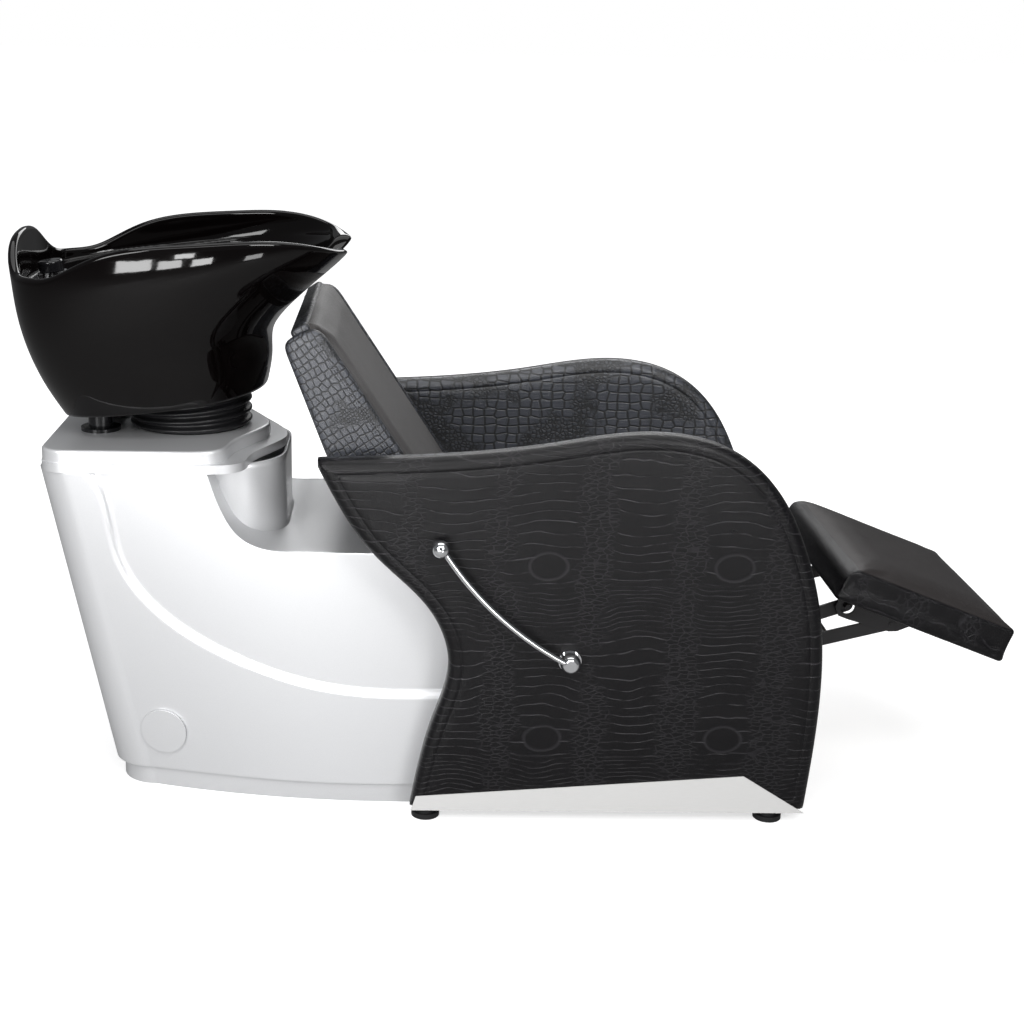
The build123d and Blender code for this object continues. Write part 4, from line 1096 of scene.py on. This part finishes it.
def drain_hose():
    top = in_basin(DRAIN[0], 0, -44)
    down = np.array([math.sin(BASIN_LEAN), 0, -math.cos(BASIN_LEAN)])
    end = np.array([-600.0, 0, 485])
    t = np.linspace(0, 1, 220)[:, None]
    span = np.linalg.norm(end - top)
    path = ((2 * t**3 - 3 * t**2 + 1) * top + (t**3 - 2 * t**2 + t) * down * span
            + (3 * t**2 - 2 * t**3) * end + (t**3 - t**2) * np.array([0, 0, -1]) * span)
    ribs = 20.1 + 1.2 * np.cos(np.linspace(0, span / 6 * 2 * math.pi, 220))
    ribs[:14], ribs[-20:] = 21.3, 21.3
    v, f = tube(path, ribs, 32, caps=False)
    ob = build("drain_hose_ribs", v, f)
    finish_piece(ob, GREY_HOSE, None, ["drain_hose"])
    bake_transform(ob)


def supply_hose(side, node):
    """Braided hose from its stop valve up to the tap, with rounded bends."""
    inner, end, bend = side * 34, side * 9, 14
    upper = [in_basin(*p) for p in ((-119, inner, 12), (-226, inner, 12), (-226, inner, 120),
                                    (-255, -20 + end, 156), (-255, -20 + end, 185.8))]
    lower = [(-521, side * 60, 147), (-655, side * 60, 147), (-655, side * 60, 470),
             (upper[0][0], inner, 540)]
    corners = np.array([*lower, *upper], float)
    path = [corners[0]]
    for a, b, c in zip(corners[:-2], corners[1:-1], corners[2:]):
        first, last = (b + (p - b) / np.linalg.norm(p - b) * bend for p in (a, c))
        path += straight(path[-1], first, 12)[1:].tolist()
        t = np.linspace(0, 1, 8)[1:, None]
        path += ((1 - t) ** 2 * first + 2 * t * (1 - t) * b + t**2 * last).tolist()
    path += straight(path[-1], corners[-1], 12)[1:].tolist()
    v, f = tube(np.array(path), 6.9, 20)
    ob = build(f"braided_{node}", v, f)
    finish_piece(ob, BRAID, None, [node])
    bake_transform(ob)


bellows()
drain_hose()
supply_hose(-1, "supply_hose_hot")
supply_hose(1, "supply_hose_cold")


# ---- carried-over CAD nodes ----
for material, nodes in CARRIED_OVER:
    for node in nodes.split():
        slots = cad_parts[node].data.materials
        slots.clear()
        slots.append(material)
for node, width in (("deck_plate", 0.0015), ("deck_collar", 0.0035), ("pedestal_plinth", 0.0025),
                    ("kick_plate_left", 0.0004), ("kick_plate_right", 0.0004)):
    bevel(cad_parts[node], width, 35)


# ---- stage, light, camera ----
def stage_floor():
    me = bpy.data.meshes.new("floor")
    r = 80.0
    me.from_pydata([(-r, -r, 0), (r, -r, 0), (r, r, 0), (-r, r, 0)], [], [(0, 1, 2, 3)])
    ob = bpy.data.objects.new("floor", me)
    ob.location = (0, 0, -0.0005)
    scene.collection.objects.link(ob)
    s = Shader("studio_floor", Roughness=0.8, Specular_IOR_Level=0.0)
    seen = s.node("ShaderNodeLightPath").outputs["Is Camera Ray"]
    tone = s.colour(s.noise(1.3, 2.0), (0.70, 0.70, 0.70), (0.72, 0.72, 0.72))
    s.set("Base Color", s.colour(seen, (0.30, 0.30, 0.30), tone))
    x, y, _ = s.split()
    away = s.math("SQRT", s.add(s.mul(x, x), s.mul(y, y)))
    s.set("Emission Color", (1, 1, 1, 1))
    s.set("Emission Strength", s.mix(seen, 0.05, s.mix(s.step(away, 0.8, 3.0), 0.62, 1.0)))
    me.materials.append(s.material)


def softbox(name, place, target, size, power):
    light = bpy.data.lights.new(name, "AREA")
    light.shape = "RECTANGLE"
    light.size, light.size_y = size
    light.energy = power
    ob = bpy.data.objects.new(name, light)
    ob.location = place
    ob.rotation_euler = (Vector(target) - Vector(place)).to_track_quat("-Z", "Y").to_euler()
    scene.collection.objects.link(ob)


def studio():
    world = bpy.data.worlds.new("studio")
    scene.world = world
    world.use_nodes = True
    tree = world.node_tree
    light = tree.nodes["Background"]
    light.inputs["Color"].default_value = (0.95, 0.97, 1.0, 1)
    light.inputs["Strength"].default_value = 0.16
    seen = tree.nodes.new("ShaderNodeBackground")
    seen.inputs["Color"].default_value = (1, 1, 1, 1)
    choose = tree.nodes.new("ShaderNodeMixShader")
    tree.links.new(tree.nodes.new("ShaderNodeLightPath").outputs["Is Camera Ray"], choose.inputs[0])
    tree.links.new(light.outputs[0], choose.inputs[1])
    tree.links.new(seen.outputs[0], choose.inputs[2])
    tree.links.new(choose.outputs[0], tree.nodes["World Output"].inputs["Surface"])
    basin_at = (-0.55, 0, 0.92)
    for name, place, target, size, power in (
        ("key_left", (-1.9, -2.6, 1.9), (-0.3, 0, 0.5), (1.0, 0.8), 30),
        ("key_right", (1.3, -2.9, 2.1), (0.1, 0, 0.5), (1.0, 0.8), 36),
        ("front_high", (0.1, -1.9, 2.5), (0.1, 0, 0.5), (3.0, 0.8), 26),
        ("overhead", (0.0, 0.3, 3.2), (0, 0, 0), (3.2, 2.2), 40),
        ("window_rear", (-1.39, -2.68, 0.56), basin_at, (0.50, 0.40), 13.0),
        ("window_mid", (-0.74, -2.80, 0.80), basin_at, (0.30, 0.16), 3.4),
        ("window_front", (0.72, -2.40, 0.30), basin_at, (0.46, 0.34), 5.0),
        ("window_inner", (-0.43, -2.34, 0.55), basin_at, (0.32, 0.28), 6.0),
        ("window_inner_rear", (-0.85, -2.33, 0.57), basin_at, (0.26, 0.28), 4.5),
        ("rim", (0.6, 2.8, 2.2), (0, 0, 0.5), (2.6, 1.0), 30),
    ):
        softbox(name, place, target, size, power)
    scene.view_settings.view_transform = "Standard"


def camera():
    yaw, pitch, roll = (math.radians(v) for v in (1.27, 16.87, -1.06))
    level = math.cos(pitch)
    forward = Vector((math.sin(yaw) * level, math.cos(yaw) * level, -math.sin(pitch)))
    right = Vector((math.cos(yaw), -math.sin(yaw), 0))
    down = forward.cross(right)
    right, down = (math.cos(roll) * right + math.sin(roll) * down,
                   -math.sin(roll) * right + math.cos(roll) * down)
    cam = bpy.data.cameras.new("camera")
    cam.lens, cam.sensor_width = 56.25, 36.0
    cam.shift_x = 0.0703
    ob = bpy.data.objects.new("camera", cam)
    m = Matrix((right, -down, -forward)).transposed().to_4x4()
    m.translation = (-0.180, -2.7746, 1.2917)
    ob.matrix_world = m
    scene.collection.objects.link(ob)
    scene.camera = ob


stage_floor()
studio()
camera()
